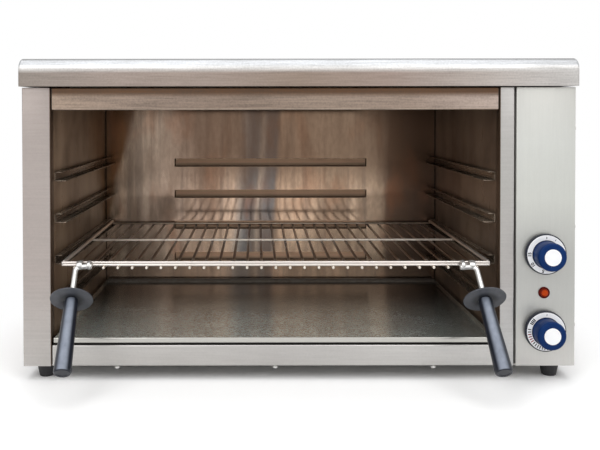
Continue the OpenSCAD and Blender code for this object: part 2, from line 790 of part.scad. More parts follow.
module gland_locknut() color(BLACK) placed() difference() {
    translate([control_x, inner_back - locknut_t, gland_z]) rotate([-90, 0, 0]) {
        cylinder(r = gland_flange_r, h = locknut_t, $fn = 6);
    }
    rod_y(control_x, inner_back - locknut_t - eps, inner_back + eps, gland_z, gland_r + bush_fit);
}

// ---- Rack ----

module round_rod_x(x0, x1, y, z, r) {
    rod_x(x0, x1, y, z, r);
    for (x = [x0, x1]) translate([x, y, z]) sphere(r);
}

// Tips its children about the front rail and brings them to the middle of the rack
module tipped() {
    translate([rack_x, rack_set, rack_z]) rotate([rack_tip, 0, 0]) translate([0, -rack_set, -rack_z]) children();
}

module rack_frame() color(WIRE_STEEL) placed() tipped() {
    r = cross_rod_d / 2;
    end_x = rack_w / 2 - r;
    rear_y = rack_back - side_rod_d / 2;
    for (z = [rail_z, rack_z]) round_rod_x(-end_x, end_x, rack_set, z, r);
    for (y = [mid_rail_y, rear_y]) round_rod_x(-side_rod_x, side_rod_x, y, rail_z, r);
    for (s = [-1, 1]) {
        rod_z(s * end_x, rack_set, rail_z, rack_z, r);
        rod_y(s * side_rod_x, rack_set, rear_y, rack_z, side_rod_d / 2);
        translate([s * side_rod_x, rear_y, rack_z]) sphere(side_rod_d / 2);
    }
}

module rack_bars() color(WIRE_STEEL) placed() tipped() {
    for (i = [0 : bar_n - 1]) {
        rod_y((i - (bar_n - 1) / 2) * bar_pitch, rack_set - cross_rod_d / 2 - bar_nose + 1.5,
              rack_back, bar_z, bar_d / 2);
    }
}

// Puts its children on the handle's axis, which runs along +Z from the top of the rod
module on_handle(side, lean) {
    translate([rack_x + side * handle_x, handle_y, handle_z]) rotate([0, side * lean, 0]) {
        rotate([90 + handle_slope, 0, 0]) children();
    }
}

// Rod, the stub that it is bent into, and the hook around the double front rail
module handle_rod(side, lean) {
    placed() {
        on_handle(side, lean) {
            translate([0, 0, rod_bend_r]) cylinder(r = handle_rod_r, h = grip_at + grip_bore - rod_bend_r);
            translate([-side * rod_bend_r, 0, rod_bend_r]) rotate([90, side > 0 ? 0 : 90, 0]) mirror([0, 1, 0]) {
                rotate_extrude(angle = 90) translate([rod_bend_r, 0]) circle(handle_rod_r);
            }
            translate([-side * rod_bend_r, 0, 0]) rotate([0, -side * 90, 0]) {
                cylinder(r = handle_rod_r, h = stub_len - rod_bend_r);
            }
        }
        translate([rack_x + side * hook_x, rack_set, rail_z + front_rise / 2]) rotate([0, 90, 0]) {
            rotate_extrude() translate([hook_r, 0]) circle(hook_wire / 2);
        }
    }
}

module handle_guard(side, lean) {
    placed() on_handle(side, lean) translate([0, 0, guard_at]) difference() {
        cylinder(d = guard_d, h = guard_t);
        translate([0, 0, -eps]) cylinder(r = handle_rod_r, h = guard_t + 2 * eps);
    }
}

module handle_grip(side, lean) {
    placed() on_handle(side, lean) translate([0, 0, grip_at]) difference() {
        union() {
            cylinder(d1 = grip_d1, d2 = grip_d2, h = grip_len - grip_chamfer);
            translate([0, 0, grip_len - grip_chamfer]) {
                cylinder(d1 = grip_d2, d2 = grip_d2 - 2 * grip_chamfer, h = grip_chamfer);
            }
        }
        translate([0, 0, -eps]) cylinder(r = handle_rod_r, h = grip_bore + eps);
    }
}

module left_handle_rod() color(WIRE_STEEL) handle_rod(-1, lean_left);

module right_handle_rod() color(WIRE_STEEL) handle_rod(1, lean_right);

module left_handle_guard() color(GUARD_GREY) handle_guard(-1, lean_left);

module right_handle_guard() color(GUARD_GREY) handle_guard(1, lean_right);

module left_handle_grip() color(BLACK) handle_grip(-1, lean_left);

module right_handle_grip() color(BLACK) handle_grip(1, lean_right);

module crumb_tray() color(STEEL) placed() difference() {
    block(tray_l, tray_r, tray_front, tray_back, tray_z, tray_z + tray_h);
    block(tray_l + sheet, tray_r - sheet, tray_front + sheet, tray_back - sheet,
          tray_z + sheet, tray_z + tray_h + eps);
}

// ---- Knobs ----

// Puts its children on a control shaft's axis, which runs along +Z out of the panel
module on_shaft(z) placed() translate([control_x, 0, z]) rotate([90, 0, 0]) children();

module shaft(z) on_shaft(z) translate([0, 0, -shaft_in]) cylinder(r = shaft_r, h = shaft_in + shaft_out);

module knob(z) on_shaft(z) difference() {
    union() {
        translate([0, 0, skirt_gap]) cylinder(d = skirt_d, h = skirt_t);
        translate([0, 0, skirt_gap + skirt_t]) cylinder(d1 = knob_d - 1.5, d2 = knob_d, h = knob_len - 1.5);
        translate([0, 0, knob_face - 1.5]) cylinder(d1 = knob_d, d2 = knob_d - 3, h = 1.5);
    }
    cylinder(r = shaft_r, h = shaft_out);
}

module dial(z) on_shaft(z) translate([0, 0, skirt_gap + skirt_t]) difference() {
    cylinder(d = dial_d, h = dial_t);
    translate([0, 0, -eps]) cylinder(d = knob_d + 0.6, h = dial_t + 2 * eps);
}

module cap(z) on_shaft(z) translate([0, 0, knob_face]) cylinder(d = cap_d, h = cap_t);

module timer_shaft() color(STEEL) shaft(timer_z);

module timer_knob() color(BLUE) knob(timer_z);

module timer_dial() color(WHITE) dial(timer_z);

module timer_cap() color(WHITE) cap(timer_z);

module thermostat_shaft() color(STEEL) shaft(thermo_z);

module thermostat_knob() color(BLUE) knob(thermo_z);

module thermostat_dial() color(WHITE) dial(thermo_z);

module thermostat_cap() color(WHITE) cap(thermo_z);

// ---- Feet and fasteners ----

module foot_spots() {
    for (sx = [-1, 1]) for (y = [foot_front, body_d - foot_front]) {
        translate([sx * (side_x - foot_side), y, 0]) children();
    }
}

module feet() color(BLACK) placed() foot_spots() difference() {
    cylinder(d1 = foot_d2, d2 = foot_d, h = foot_h);
    translate([0, 0, foot_h - stud_in]) cylinder(r = stud_r + bush_fit, h = stud_in + eps);
}

module foot_studs() color(STEEL) placed() foot_spots() rod_z(0, 0, foot_h - stud_in, stud_top, stud_r);

module foot_nuts() color(STEEL) placed() foot_spots() difference() {
    translate([0, 0, floor_z]) cylinder(r = nut_r, h = nut_h, $fn = 6);
    rod_z(0, 0, floor_z - eps, floor_z + nut_h + eps, stud_r + bush_fit);
}

module cover_screws() color(STEEL) placed() {
    for (sx = [-1, 1]) for (y = cover_screw_y) translate([sx * cover_screw_x, y, 0]) {
        rod_z(0, 0, roof_z - head_h, roof_z, head_r);
        rod_z(0, 0, roof_z, roof_z + cover_screw_len, screw_r);
    }
}

module cover_spacers() color(STEEL) placed() {
    for (sx = [-1, 1]) for (y = cover_screw_y) translate([sx * cover_screw_x, y, 0]) difference() {
        rod_z(0, 0, top_z, cover_z, head_r + 1.5);
        rod_z(0, 0, top_z - eps, cover_z + eps, screw_r + hole_fit);
    }
}

// Screws of the back panel, and of the control panel's fold in the right wall
module casing_screws() color(STEEL) placed() {
    for (z = casing_screw_z) {
        for (sx = [-1, 1]) {
            rod_y(sx * casing_screw_x, body_d, body_d + head_h, z, head_r);
            rod_y(sx * casing_screw_x, body_d - 6, body_d, z, small_r);
        }
        rod_x(side_x, side_x + head_h, panel_screw_y, z, head_r);
        rod_x(side_x - 6, side_x, panel_screw_y, z, small_r);
    }
}

module rail_screws() color(STEEL) placed() rail_screw_spots() {
    rod_z(0, 0, base_z - head_h, base_z, rail_screw_r);
    rod_z(0, 0, base_z, floor_z + 4, screw_r);
}

module control_screws() color(STEEL) placed() {
    for (z = [timer_z, thermo_z]) for (d = [-control_screw_z, control_screw_z]) {
        rod_y(control_x, -1, 0, z + d, screw_r + 1);
        rod_y(control_x, 0, box_front + 7, z + d, screw_r);
    }
}

left_side_panel();
right_side_panel();
control_panel();
bay_divider();
front_lintel();
bottom_rail();
back_panel();
base_plate();
top_cover();
left_liner();
right_liner();
back_liner();
ceiling_reflector();
liner_floor();
top_insulation();
back_insulation();
left_insulation();
bay_insulation();
left_runners();
right_runners();
front_element();
rear_element();
element_brackets();
element_bushes();
thermostat_body();
thermostat_bulb();
thermostat_capillary();
bulb_clips();
timer_body();
lamp_body();
lamp_lens();
terminal_block();
wiring();
cable_gland();
gland_locknut();
rack_frame();
rack_bars();
left_handle_rod();
left_handle_guard();
left_handle_grip();
right_handle_rod();
right_handle_guard();
right_handle_grip();
crumb_tray();
timer_shaft();
timer_knob();
timer_dial();
timer_cap();
thermostat_shaft();
thermostat_knob();
thermostat_dial();
thermostat_cap();
feet();
foot_studs();
foot_nuts();
cover_screws();
cover_spacers();
casing_screws();
rail_screws();
control_screws();
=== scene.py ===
"""Dresses the cheese melter: its modelled pieces, finishes, studio and camera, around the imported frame."""

import logging
import math
from contextlib import contextmanager
from dataclasses import dataclass
from enum import Enum
from typing import Any, Callable, Dict, Iterator, Mapping, Optional, Sequence, Tuple, Union

import bmesh
import bpy
from mathutils import Matrix, Vector


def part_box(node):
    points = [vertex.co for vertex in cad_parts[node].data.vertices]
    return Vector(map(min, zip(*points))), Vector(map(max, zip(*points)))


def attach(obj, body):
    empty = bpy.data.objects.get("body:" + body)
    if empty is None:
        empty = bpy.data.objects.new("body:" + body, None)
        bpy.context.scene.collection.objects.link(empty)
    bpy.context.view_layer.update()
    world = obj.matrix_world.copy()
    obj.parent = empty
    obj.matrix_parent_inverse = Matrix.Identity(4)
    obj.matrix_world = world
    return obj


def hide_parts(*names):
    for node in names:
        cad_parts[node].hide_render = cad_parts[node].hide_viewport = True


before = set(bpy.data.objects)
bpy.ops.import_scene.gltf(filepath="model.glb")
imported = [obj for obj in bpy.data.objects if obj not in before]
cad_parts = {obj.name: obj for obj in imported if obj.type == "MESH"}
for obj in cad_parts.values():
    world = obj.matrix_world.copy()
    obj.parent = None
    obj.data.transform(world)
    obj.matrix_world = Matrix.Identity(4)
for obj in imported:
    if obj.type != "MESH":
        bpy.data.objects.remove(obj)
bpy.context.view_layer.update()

LOG = logging.getLogger("cheese_melter")
MM = 0.001
FRONT_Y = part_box("left_side_panel")[0].y
NEAR = 0.02 * MM

Rgb = Tuple[int, int, int]
Stops = Tuple[Tuple[float, Rgb], ...]
Point2 = Tuple[float, float]
Point3 = Tuple[float, float, float]


def at(x: float, y: float, z: float) -> Vector:
    """Gives the place of a point that is drawn in millimetres from the middle of the front.

    Args:
        x: Distance to the right of the middle.
        y: Distance behind the front faces.
        z: Height above the floor.

    Returns:
        The point in the frame's metres.
    """
    return Vector((x * MM, y * MM + FRONT_Y, z * MM))


def linear(colour: Rgb) -> Tuple[float, float, float, float]:
    """Turns a colour of 0 to 255 into the linear colour that a shader takes.

    Args:
        colour: Red, green and blue as they look.

    Returns:
        The linear colour with an alpha of 1.
    """
    parts = [c / 255 for c in colour]
    red, green, blue = (c / 12.92 if c <= 0.04045 else ((c + 0.055) / 1.055) ** 2.4 for c in parts)
    return (red, green, blue, 1.0)


class Axis(Enum):
    """One of the three directions of the frame."""

    X = 0
    Y = 1
    Z = 2

    @property
    def vector(self) -> Vector:
        """The unit vector of the direction."""
        return Vector([1.0 if i == self.value else 0.0 for i in range(3)])

    def turn(self, degrees: float) -> Matrix:
        """The turn about the direction by an angle."""
        return Matrix.Rotation(math.radians(degrees), 4, self.name)


@dataclass(frozen=True)
class Plan:
    """The melter's leading sizes in millimetres, as its solids have them."""

    side: float = 340.0
    base: float = 18.0
    top: float = 361.5
    depth: float = 380.0
    sheet: float = 1.0
    fold: float = 14.0
    open_left: float = -305.0
    open_right: float = 247.0
    open_low: float = 44.0
    lintel: float = 334.0
    post_right: float = 265.0
    panel_left: float = 267.5
    control_x: float = 302.0
    cavity: float = 345.0
    liner_left: float = -306.0
    liner_right: float = 248.0
    ceiling: float = 354.0
    floor: float = 20.0
    timer: float = 157.0
    lamp: float = 108.6
    thermostat: float = 62.4
    ridge_top: float = 253.4
    ridge_pitch: float = 52.3
    ridge_half: float = 160.5

    @property
    def middle(self) -> float:
        """The middle of the cooking space across the front."""
        return (self.open_left + self.open_right) / 2

    @property
    def ridge_tops(self) -> Tuple[float, ...]:
        """The upper edges of the back wall's ridges, from the lowest up."""
        return tuple(self.ridge_top - level * self.ridge_pitch for level in (3, 2, 1, 0))

    @property
    def height(self) -> Point2:
        """The lower and upper end of the casing's sheets."""
        return self.base, self.top

    @property
    def opening(self) -> Point2:
        """The left and right edge of the opening."""
        return self.open_left, self.open_right


PLAN = Plan()


# ---- Shader graphs ----


class Value:
    """A shader socket that takes part in Python expressions."""

    def __init__(self, graph: "Graph", socket: Any) -> None:
        """Keeps the graph and the socket."""
        self.graph = graph
        self.socket = socket

    def _math(self, operation: str, first: "Term", second: "Term") -> "Value":
        """Adds a Math node for one operation on two terms."""
        return self.graph.add("ShaderNodeMath", {"operation": operation}, {0: first, 1: second})

    def __add__(self, other: "Term") -> "Value":
        """This value plus another."""
        return self._math("ADD", self, other)

    def __radd__(self, other: "Term") -> "Value":
        """Another value plus this one."""
        return self._math("ADD", other, self)

    def __sub__(self, other: "Term") -> "Value":
        """This value less another."""
        return self._math("SUBTRACT", self, other)

    def __rsub__(self, other: "Term") -> "Value":
        """Another value less this one."""
        return self._math("SUBTRACT", other, self)

    def __mul__(self, other: "Term") -> "Value":
        """This value times another."""
        return self._math("MULTIPLY", self, other)

    def __rmul__(self, other: "Term") -> "Value":
        """Another value times this one."""
        return self._math("MULTIPLY", other, self)

    def __pow__(self, other: "Term") -> "Value":
        """This value to a power."""
        return self._math("POWER", self, other)

    def function(self, operation: str) -> "Value":
        """This value through a Math node's function, such as ABSOLUTE."""
        return self.graph.add("ShaderNodeMath", {"operation": operation}, {0: self})

    def between(self, low: float, high: float) -> "Value":
        """A smooth rise from 0 to 1 as this value goes from one bound to the other."""
        values = {"Value": self, "From Min": low, "From Max": high}
        return self.graph.add("ShaderNodeMapRange", {"interpolation_type": "SMOOTHSTEP"}, values)


Term = Union[Value, float]


class Graph:
    """The node graph of one material, or of the world."""

    def __init__(self, owner: Union[bpy.types.Material, bpy.types.World]) -> None:
        """Empties the graph of a new material or world.

        Args:
            owner: The material or world.
        """
        self.owner = owner
        owner.use_nodes = True
        self.tree = owner.node_tree
        self.tree.nodes.clear()

    @classmethod
    def named(cls, name: str) -> "Graph":
        """Starts the graph of a new material."""
        return cls(bpy.data.materials.new(name))

    def add(self, kind: str, settings: Optional[Mapping[str, Any]] = None,
            values: Optional[Mapping[Any, Any]] = None, output: Union[int, str] = 0) -> Value:
        """Adds a node.

        Args:
            kind: The node's type.
            settings: Its settings, which are set first; "stops" are the stops of a ramp.
            values: The values or links of its sockets, by name or number.
            output: The output to give back, of a node that has any.

        Returns:
            The chosen output.
        """
        node = self.tree.nodes.new(kind)
        for key, setting in (settings or {}).items():
            if key == "stops":
                self._set_stops(node.color_ramp, setting)
            else:
                setattr(node, key, setting)
        for key, value in (values or {}).items():
            if isinstance(value, Value):
                self.tree.links.new(value.socket, node.inputs[key])
            else:
                node.inputs[key].default_value = value
        return Value(self, node.outputs[output] if node.outputs else None)

    @staticmethod
    def _set_stops(ramp: Any, stops: Stops) -> None:
        """Gives a colour ramp its stops.

        Args:
            ramp: The ramp of a new node.
            stops: The place and colour of each stop, from left to right.
        """
        while len(ramp.elements) > 1:
            ramp.elements.remove(ramp.elements[-1])
        ramp.elements[0].position, ramp.elements[0].color = stops[0][0], linear(stops[0][1])
        for place, colour in stops[1:]:
            ramp.elements.new(place).color = linear(colour)

    def place(self, axis: Optional[Axis] = None) -> Value:
        """Gives the place on the object, or one of its coordinates.

        Args:
            axis: The coordinate that is wanted, or None for all three.

        Returns:
            The vector or the number.
        """
        vector = self.add("ShaderNodeTexCoord", output="Object")
        if axis is None:
            return vector
        return self.add("ShaderNodeSeparateXYZ", {}, {0: vector}, output=axis.value)

    def noise(self, scale: Point3, detail: float = 3.0, seed: float = 0.0) -> Value:
        """Adds a noise that may be stretched.

        Args:
            scale: Features to the metre along X, Y and Z.
            detail: Octaves of finer noise.
            seed: Shift that tells one noise from another.

        Returns:
            The noise, around 0.5.
        """
        values = {"Vector": self.place(), "Scale": scale, "Location": (seed, seed * 1.7, seed * 0.6)}
        mapped = self.add("ShaderNodeMapping", {}, values)
        return self.add("ShaderNodeTexNoise", {}, {"Vector": mapped, "Scale": 1.0, "Detail": detail})

    def mix(self, factor: Term, first: Union[Rgb, Value], second: Union[Rgb, Value]) -> Value:
        """Mixes two colours.

        Args:
            factor: How much of the second colour.
            first: A colour, or a colour output.
            second: The same.

        Returns:
            The mixed colour.
        """
        pair = [colour if isinstance(colour, Value) else linear(colour) for colour in (first, second)]
        settings = {"data_type": "RGBA", "clamp_factor": True}
        return self.add("ShaderNodeMix", settings, {0: factor, 6: pair[0], 7: pair[1]}, output=2)

    def seen(self) -> Value:
        """Tells the rays that show something: from the camera, a gloss or a glass.

        Returns:
            1 for those rays and 0 for the others.
        """
        camera, gloss, glass = (self.add("ShaderNodeLightPath", output=f"Is {ray} Ray")
                                for ray in ("Camera", "Glossy", "Transmission"))
        shown = self.add("ShaderNodeMath", {"operation": "MAXIMUM"}, {0: camera + gloss, 1: glass})
        return shown.between(0.0, 1.0)

    def along(self, axis: Axis, start: float, end: float) -> Value:
        """Gives the share of the way between two places on an axis, in millimetres from the front."""
        origin = FRONT_Y if axis is Axis.Y else 0.0
        return (self.place(axis) - (start * MM + origin)) * (1 / ((end - start) * MM))

    def fade(self, axis: Axis, start: float, end: float) -> Value:
        """Gives a smooth rise from 0 to 1 between two places on an axis, in millimetres."""
        return self.along(axis, start, end).between(0.0, 1.0)

    def ramp(self, factor: Value, stops: Stops) -> Value:
        """Turns a number into a colour through a ramp of stops."""
        return self.add("ShaderNodeValToRGB", {"stops": stops}, {0: factor})

    def finish(self, base: Value, rough: Term, height: Optional[Value] = None, relief: float = 0.03,
               **constants: Any) -> bpy.types.Material:
        """Closes the graph with the surface shader.

        Args:
            base: Base colour.
            rough: Roughness.
            height: Relief pattern.
            relief: Height of the relief in millimetres.
            constants: Other sockets of the shader, with underscores for spaces.

        Returns:
            The finished material.
        """
        values: Dict[str, Any] = {"Base Color": base, "Roughness": rough}
        values.update({key.replace("_", " "): value for key, value in constants.items()})
        if height is not None:
            bump = {"Strength": 1.0, "Distance": relief * MM, "Height": height}
            values["Normal"] = self.add("ShaderNodeBump", {}, bump)
        return self.close(self.add("ShaderNodeBsdfPrincipled", {}, values))

    def close(self, surface: Value) -> Any:
        """Links a shader to the output.

        Args:
            surface: The shader.

        Returns:
            The material or world.
        """
        kind = "World" if isinstance(self.owner, bpy.types.World) else "Material"
        self.add(f"ShaderNodeOutput{kind}", {}, {"Surface": surface})
        return self.owner


# ---- Finishes ----


def stretched(axis: Axis, along: float, across: float) -> Point3:
    """Gives the scale of a noise that is drawn out along one direction.

    Args:
        axis: The direction of the grain.
        along: Features to the metre along it.
        across: Features to the metre across it.

    Returns:
        The scale for X, Y and Z.
    """
    x, y, z = (along if axis.value == i else across for i in range(3))
    return (x, y, z)


class Finish:
    """A finish, which makes materials of its kind."""

    def material(self, name: str) -> bpy.types.Material:
        """Builds the finish under a name."""
        return self.paint(Graph.named(name))

    def paint(self, graph: Graph) -> bpy.types.Material:
        """Fills the graph of a new material.

        Args:
            graph: The empty graph.

        Returns:
            The finished material.
        """
        raise NotImplementedError


@dataclass(frozen=True)
class Steel(Finish):
    """Brushed stainless sheet with a fine grain, whose tone may change along it."""

    tones: Tuple[Rgb, ...] = ((206, 204, 199),)
    drift: Axis = Axis.X
    span: Point2 = (-PLAN.side, PLAN.side)
    grain: Axis = Axis.X
    rough: float = 0.38
    metallic: float = 0.6
    speck: float = 0.16
    shifts: Tuple[Tuple[Axis, Rgb, float, float], ...] = ()

    def base(self, graph: Graph, wear: Value) -> Value:
        """Gives the colour: the tones along the drift, the shifts to other tones, and the wear over them.

        Args:
            graph: The material's graph.
            wear: The pattern of the wear.

        Returns:
            The base colour.
        """
        last = max(len(self.tones) - 1, 1)
        stops = tuple((i / last, tone) for i, tone in enumerate(self.tones))
        base = graph.ramp(graph.along(self.drift, *self.span), stops)
        for axis, tone, start, end in self.shifts:
            base = graph.mix(graph.fade(axis, start, end), base, tone)
        return graph.mix((wear - 0.5) * self.speck + self.speck * 0.3, base, (64, 58, 52))

    def paint(self, graph: Graph) -> bpy.types.Material:
        """Paints fine lines, specks and slow clouds over the tones.

        Args:
            graph: The empty graph.

        Returns:
            The finished material.
        """
        lines = graph.noise(stretched(self.grain, 26, 520), 4, 1.3)
        specks = graph.noise((430, 430, 430), 3, 4.1)
        cloud = graph.noise((9, 9, 14), 4, 7.7)
        wear = (lines * 0.6 + specks * 0.4 - 0.5) * 2.2 + (cloud - 0.5) * 0.8 + 0.5
        rough = self.rough + (lines - 0.5) * 0.16 + (cloud - 0.5) * 0.08
        return graph.finish(self.base(graph, wear), rough, lines + specks, 0.008, Metallic=self.metallic)


@dataclass(frozen=True)
class HeatedSteel(Finish):
    """Steel that has been tinted by years of heat, in streaks that run down it."""

    stops: Stops = ((0.3, (58, 42, 31)), (0.5, (84, 64, 48)), (0.7, (112, 92, 74)))
    grain: Axis = Axis.Z
    rough: float = 0.4
    metallic: float = 0.7
    wide: float = 14.0

    def paint(self, graph: Graph) -> bpy.types.Material:
        """Paints streaks, finer lines and soot.

        Args:
            graph: The empty graph.

        Returns:
            The finished material.
        """
        streaks = graph.noise(stretched(self.grain, self.wide / 9, self.wide), 4, 2.9)
        fine = graph.noise(stretched(self.grain, 9, 260), 4, 5.3)
        darkening = graph.noise((22, 22, 22), 4, 8.1)
        tint = graph.ramp(streaks * 0.75 + fine * 0.25, self.stops)
        base = graph.mix(darkening.between(0.42, 0.75) * 0.45, tint, (40, 31, 25))
        return graph.finish(base, self.rough + (fine - 0.5) * 0.25 + (darkening - 0.5) * 0.2, fine, 0.02,
                            Metallic=self.metallic)


@dataclass(frozen=True)
class BackWallSteel(Finish):
    """The back wall: heat tints and painted reflections in bands across it, with painted shade above and
    under its ridges.
    """

    # Heat tint and painted reflection of the studio and the side walls, in bands across the wall.
    bands: Stops = (
        (0.0, (92, 68, 46)), (0.055, (108, 78, 48)), (0.08, (156, 112, 68)), (0.096, (240, 214, 188)),
        (0.13, (222, 200, 178)), (0.2, (186, 164, 146)), (0.26, (204, 178, 158)), (0.33, (190, 160, 138)),
        (0.41, (226, 194, 168)), (0.44, (166, 156, 148)), (0.455, (122, 120, 120)), (0.475, (138, 134, 130)),
        (0.487, (204, 184, 166)), (0.503, (138, 130, 126)), (0.525, (130, 127, 126)), (0.54, (228, 192, 162)),
        (0.7, (218, 188, 160)), (0.84, (212, 184, 158)), (0.862, (120, 100, 86)), (1.0, (100, 80, 68)))
    ridge_shade: float = 13.4

    def _on_ridges(self, graph: Graph) -> Tuple[Value, Value]:
        """Gives the area of the ridges, and the painted shade on it, which grows towards each ridge's lower
        edge.

        Args:
            graph: The material's graph.

        Returns:
            The area and the painted shade.
        """
        down = graph.along(Axis.Z, PLAN.ridge_top, PLAN.ridge_top - PLAN.ridge_pitch)
        step = down.function("FRACT")
        height = self.ridge_shade / PLAN.ridge_pitch
        aside = graph.along(Axis.X, PLAN.middle, PLAN.middle + PLAN.ridge_half).function("ABSOLUTE")
        inside = (1 - step.between(height, height * 1.08)) * (1 - aside.between(0.985, 0.995))
        area = inside * down.between(-0.02, 0.0)
        return area, area * step.between(height * 0.4, height * 0.96)

    def paint(self, graph: Graph) -> bpy.types.Material:
        """Paints the tints and reflections, then painted shade above and in the corners, and painted light
        below and on the ridges.

        Args:
            graph: The empty graph.

        Returns:
            The finished material.
        """
        across = graph.along(Axis.X, PLAN.liner_left, PLAN.liner_right)
        streaks = graph.noise((34, 10, 6), 5, 1.1)
        area, shade_under_ridge = self._on_ridges(graph)
        # Painted shade on the upper wall, weaker near the left end.
        painted_shade = graph.mix(graph.fade(Axis.Z, 168.0, 262.0) * (0.36 + across.between(0.1, 0.36) * 0.4),
                          self._tints_and_reflections(graph, across, streaks), (84, 62, 46))
        # Painted light on the lowest part of the wall.
        lit = graph.mix(graph.fade(Axis.Z, 96.0, 72.0) * 0.12, painted_shade, (250, 216, 184))
        # Painted shade in both corners of the wall.
        corners = across.between(0.0, 0.0055) * (1 - across.between(0.9945, 1.0))
        framed = graph.mix(corners, (14, 10, 8), lit)
        # Painted light on the ridges, and painted shade towards each ridge's lower edge.
        pressed = graph.mix(area * 0.85, framed, (250, 212, 180))
        base = graph.mix(shade_under_ridge * 0.8, pressed, (40, 22, 12))
        cleaned = (across.between(0.09, 0.2) + across.between(0.18, 0.27)) * 0.5
        polish = (cleaned * (1 - across.between(0.74, 0.82)) * graph.fade(Axis.Z, 138.0, 154.0)) * (1 - area)
        rough = 0.24 - polish * 0.16 + area * 0.5 + (streaks - 0.5) * 0.04
        scratches = graph.noise((8, 20, 900), 3, 2.2)
        return graph.finish(base, rough, scratches, 0.003, Metallic=(0.8 - area * 0.3).between(0.0, 1.0))

    def _tints_and_reflections(self, graph: Graph, across: Value, streaks: Value) -> Value:
        """Gives the bands of heat tint and painted reflection, which lean outwards as they rise, with
        streaks, rust and mottling over them.

        Args:
            graph: The material's graph.
            across: The share of the way across the wall.
            streaks: The pattern of the broad streaks.

        Returns:
            The colour.
        """
        rest = 1 - across
        lean = graph.along(Axis.Z, 331.0, 155.0) * 0.085 * (rest * rest)
        drift, ripple = graph.noise((5, 3, 7), 3, 6.3), graph.noise((46, 3, 5), 4, 3.7)
        tint = graph.ramp(across + lean + (drift - 0.5) * 0.05 + (ripple - 0.5) * 0.03, self.bands)
        falls = graph.noise((90, 10, 3), 3, 4.6).between(0.45, 0.7)
        rust = graph.noise((22, 10, 9), 4, 5.9).between(0.5, 0.7)
        mottle = graph.noise((260, 60, 110), 4, 9.9).between(0.3, 0.7)
        streaked = streaks.between(0.42, 0.68)
        for factor, tone in ((falls * 0.5, (120, 104, 96)), (streaked * 0.6, (118, 94, 78)),
                             (rust * 0.3, (190, 120, 80)), (mottle * 0.22, (96, 76, 62))):
            tint = graph.mix(factor, tint, tone)
        return tint


@dataclass(frozen=True)
class TraySteel(Finish):
    """The crumb tray's dull steel, clean in front, with painted shade towards the back and the right, and a
    bare lip.
    """

    clean: Rgb = (232, 246, 242)
    stained: Rgb = (214, 226, 221)
    lip: Rgb = (189, 187, 181)
    # The painted shade along the lip's lower edge.
    gap: Rgb = (24, 20, 17)

    def paint(self, graph: Graph) -> bpy.types.Material:
        """Paints stains and a fine weave, then painted shade towards the back and on the right, and the lip.

        Args:
            graph: The empty graph.

        Returns:
            The finished material.
        """
        stains = graph.noise((24, 24, 24), 5, 2.4)
        fine = graph.noise((150, 560, 500), 3, 6.2)
        weave = graph.noise((520, 520, 520), 2, 8.8)
        used = graph.mix(stains.between(0.35, 0.7), self.clean, self.stained)
        grained = graph.mix((fine * 0.5 + weave * 0.5).between(0.4, 0.6) * 0.75, used, (138, 132, 124))
        # Painted shade towards the back and towards the right.
        painted_shade = graph.mix(graph.fade(Axis.Y, 70.0, 280.0) * 0.88, grained, (74, 54, 38))
        shaded = graph.mix(graph.fade(Axis.X, 110.0, 240.0) * 0.45, painted_shade, (60, 50, 42))
        # Painted shade along the lip's lower edge.
        edge = graph.mix(graph.fade(Axis.Z, 47.5, 46.5), self.lip, self.gap)
        base = graph.mix(graph.fade(Axis.Y, 3.0, 9.0), edge, shaded)
        return graph.finish(base, 0.17 + stains * 0.1, fine + weave, 0.007, Metallic=0.6)


@dataclass(frozen=True)
class Wire(Finish):
    """Bright wire that the heat has browned towards the back."""

    bright: Rgb = (218, 211, 205)
    burnt: Rgb = (204, 184, 166)
    reach: float = 300.0
    metallic: float = 0.7

    def paint(self, graph: Graph) -> bpy.types.Material:
        """Paints the browning, in patches that grow with the distance from the front.

        Args:
            graph: The empty graph.

        Returns:
            The finished material.
        """
        back = (graph.place(Axis.Y) - FRONT_Y) * (1 / (self.reach * MM))
        patches = graph.noise((30, 30, 30), 4, 2.2)
        burn = (back * 0.8 + (patches - 0.5) * 0.8).between(0.05, 0.9)
        base = graph.mix(burn, self.bright, self.burnt)
        scale = graph.noise((420, 420, 420), 3, 3.1)
        return graph.finish(base, 0.22 + patches * 0.16, scale, 0.03, Metallic=self.metallic)


@dataclass(frozen=True)
class Plastic(Finish):
    """Moulded plastic or rubber with a fine skin."""

    tone: Rgb = (40, 42, 48)
    worn: Rgb = (56, 58, 64)
    rough: float = 0.4
    skin: float = 900.0
    relief: float = 0.012
    coat: float = 0.0
    gloss: float = 0.5

    def paint(self, graph: Graph) -> bpy.types.Material:
        """Paints a skin with worn patches.

        Args:
            graph: The empty graph.

        Returns:
            The finished material.
        """
        skin = graph.noise((self.skin,) * 3, 2, 1.9)
        wear = graph.noise((60, 60, 60), 4, 4.4)
        base = graph.mix(wear.between(0.4, 0.72) * 0.7, self.tone, self.worn)
        return graph.finish(base, self.rough + (wear - 0.5) * 0.16 + (skin - 0.5) * 0.06, skin, self.relief,
                            Coat_Weight=self.coat, Coat_Roughness=0.15, Specular_IOR_Level=self.gloss)


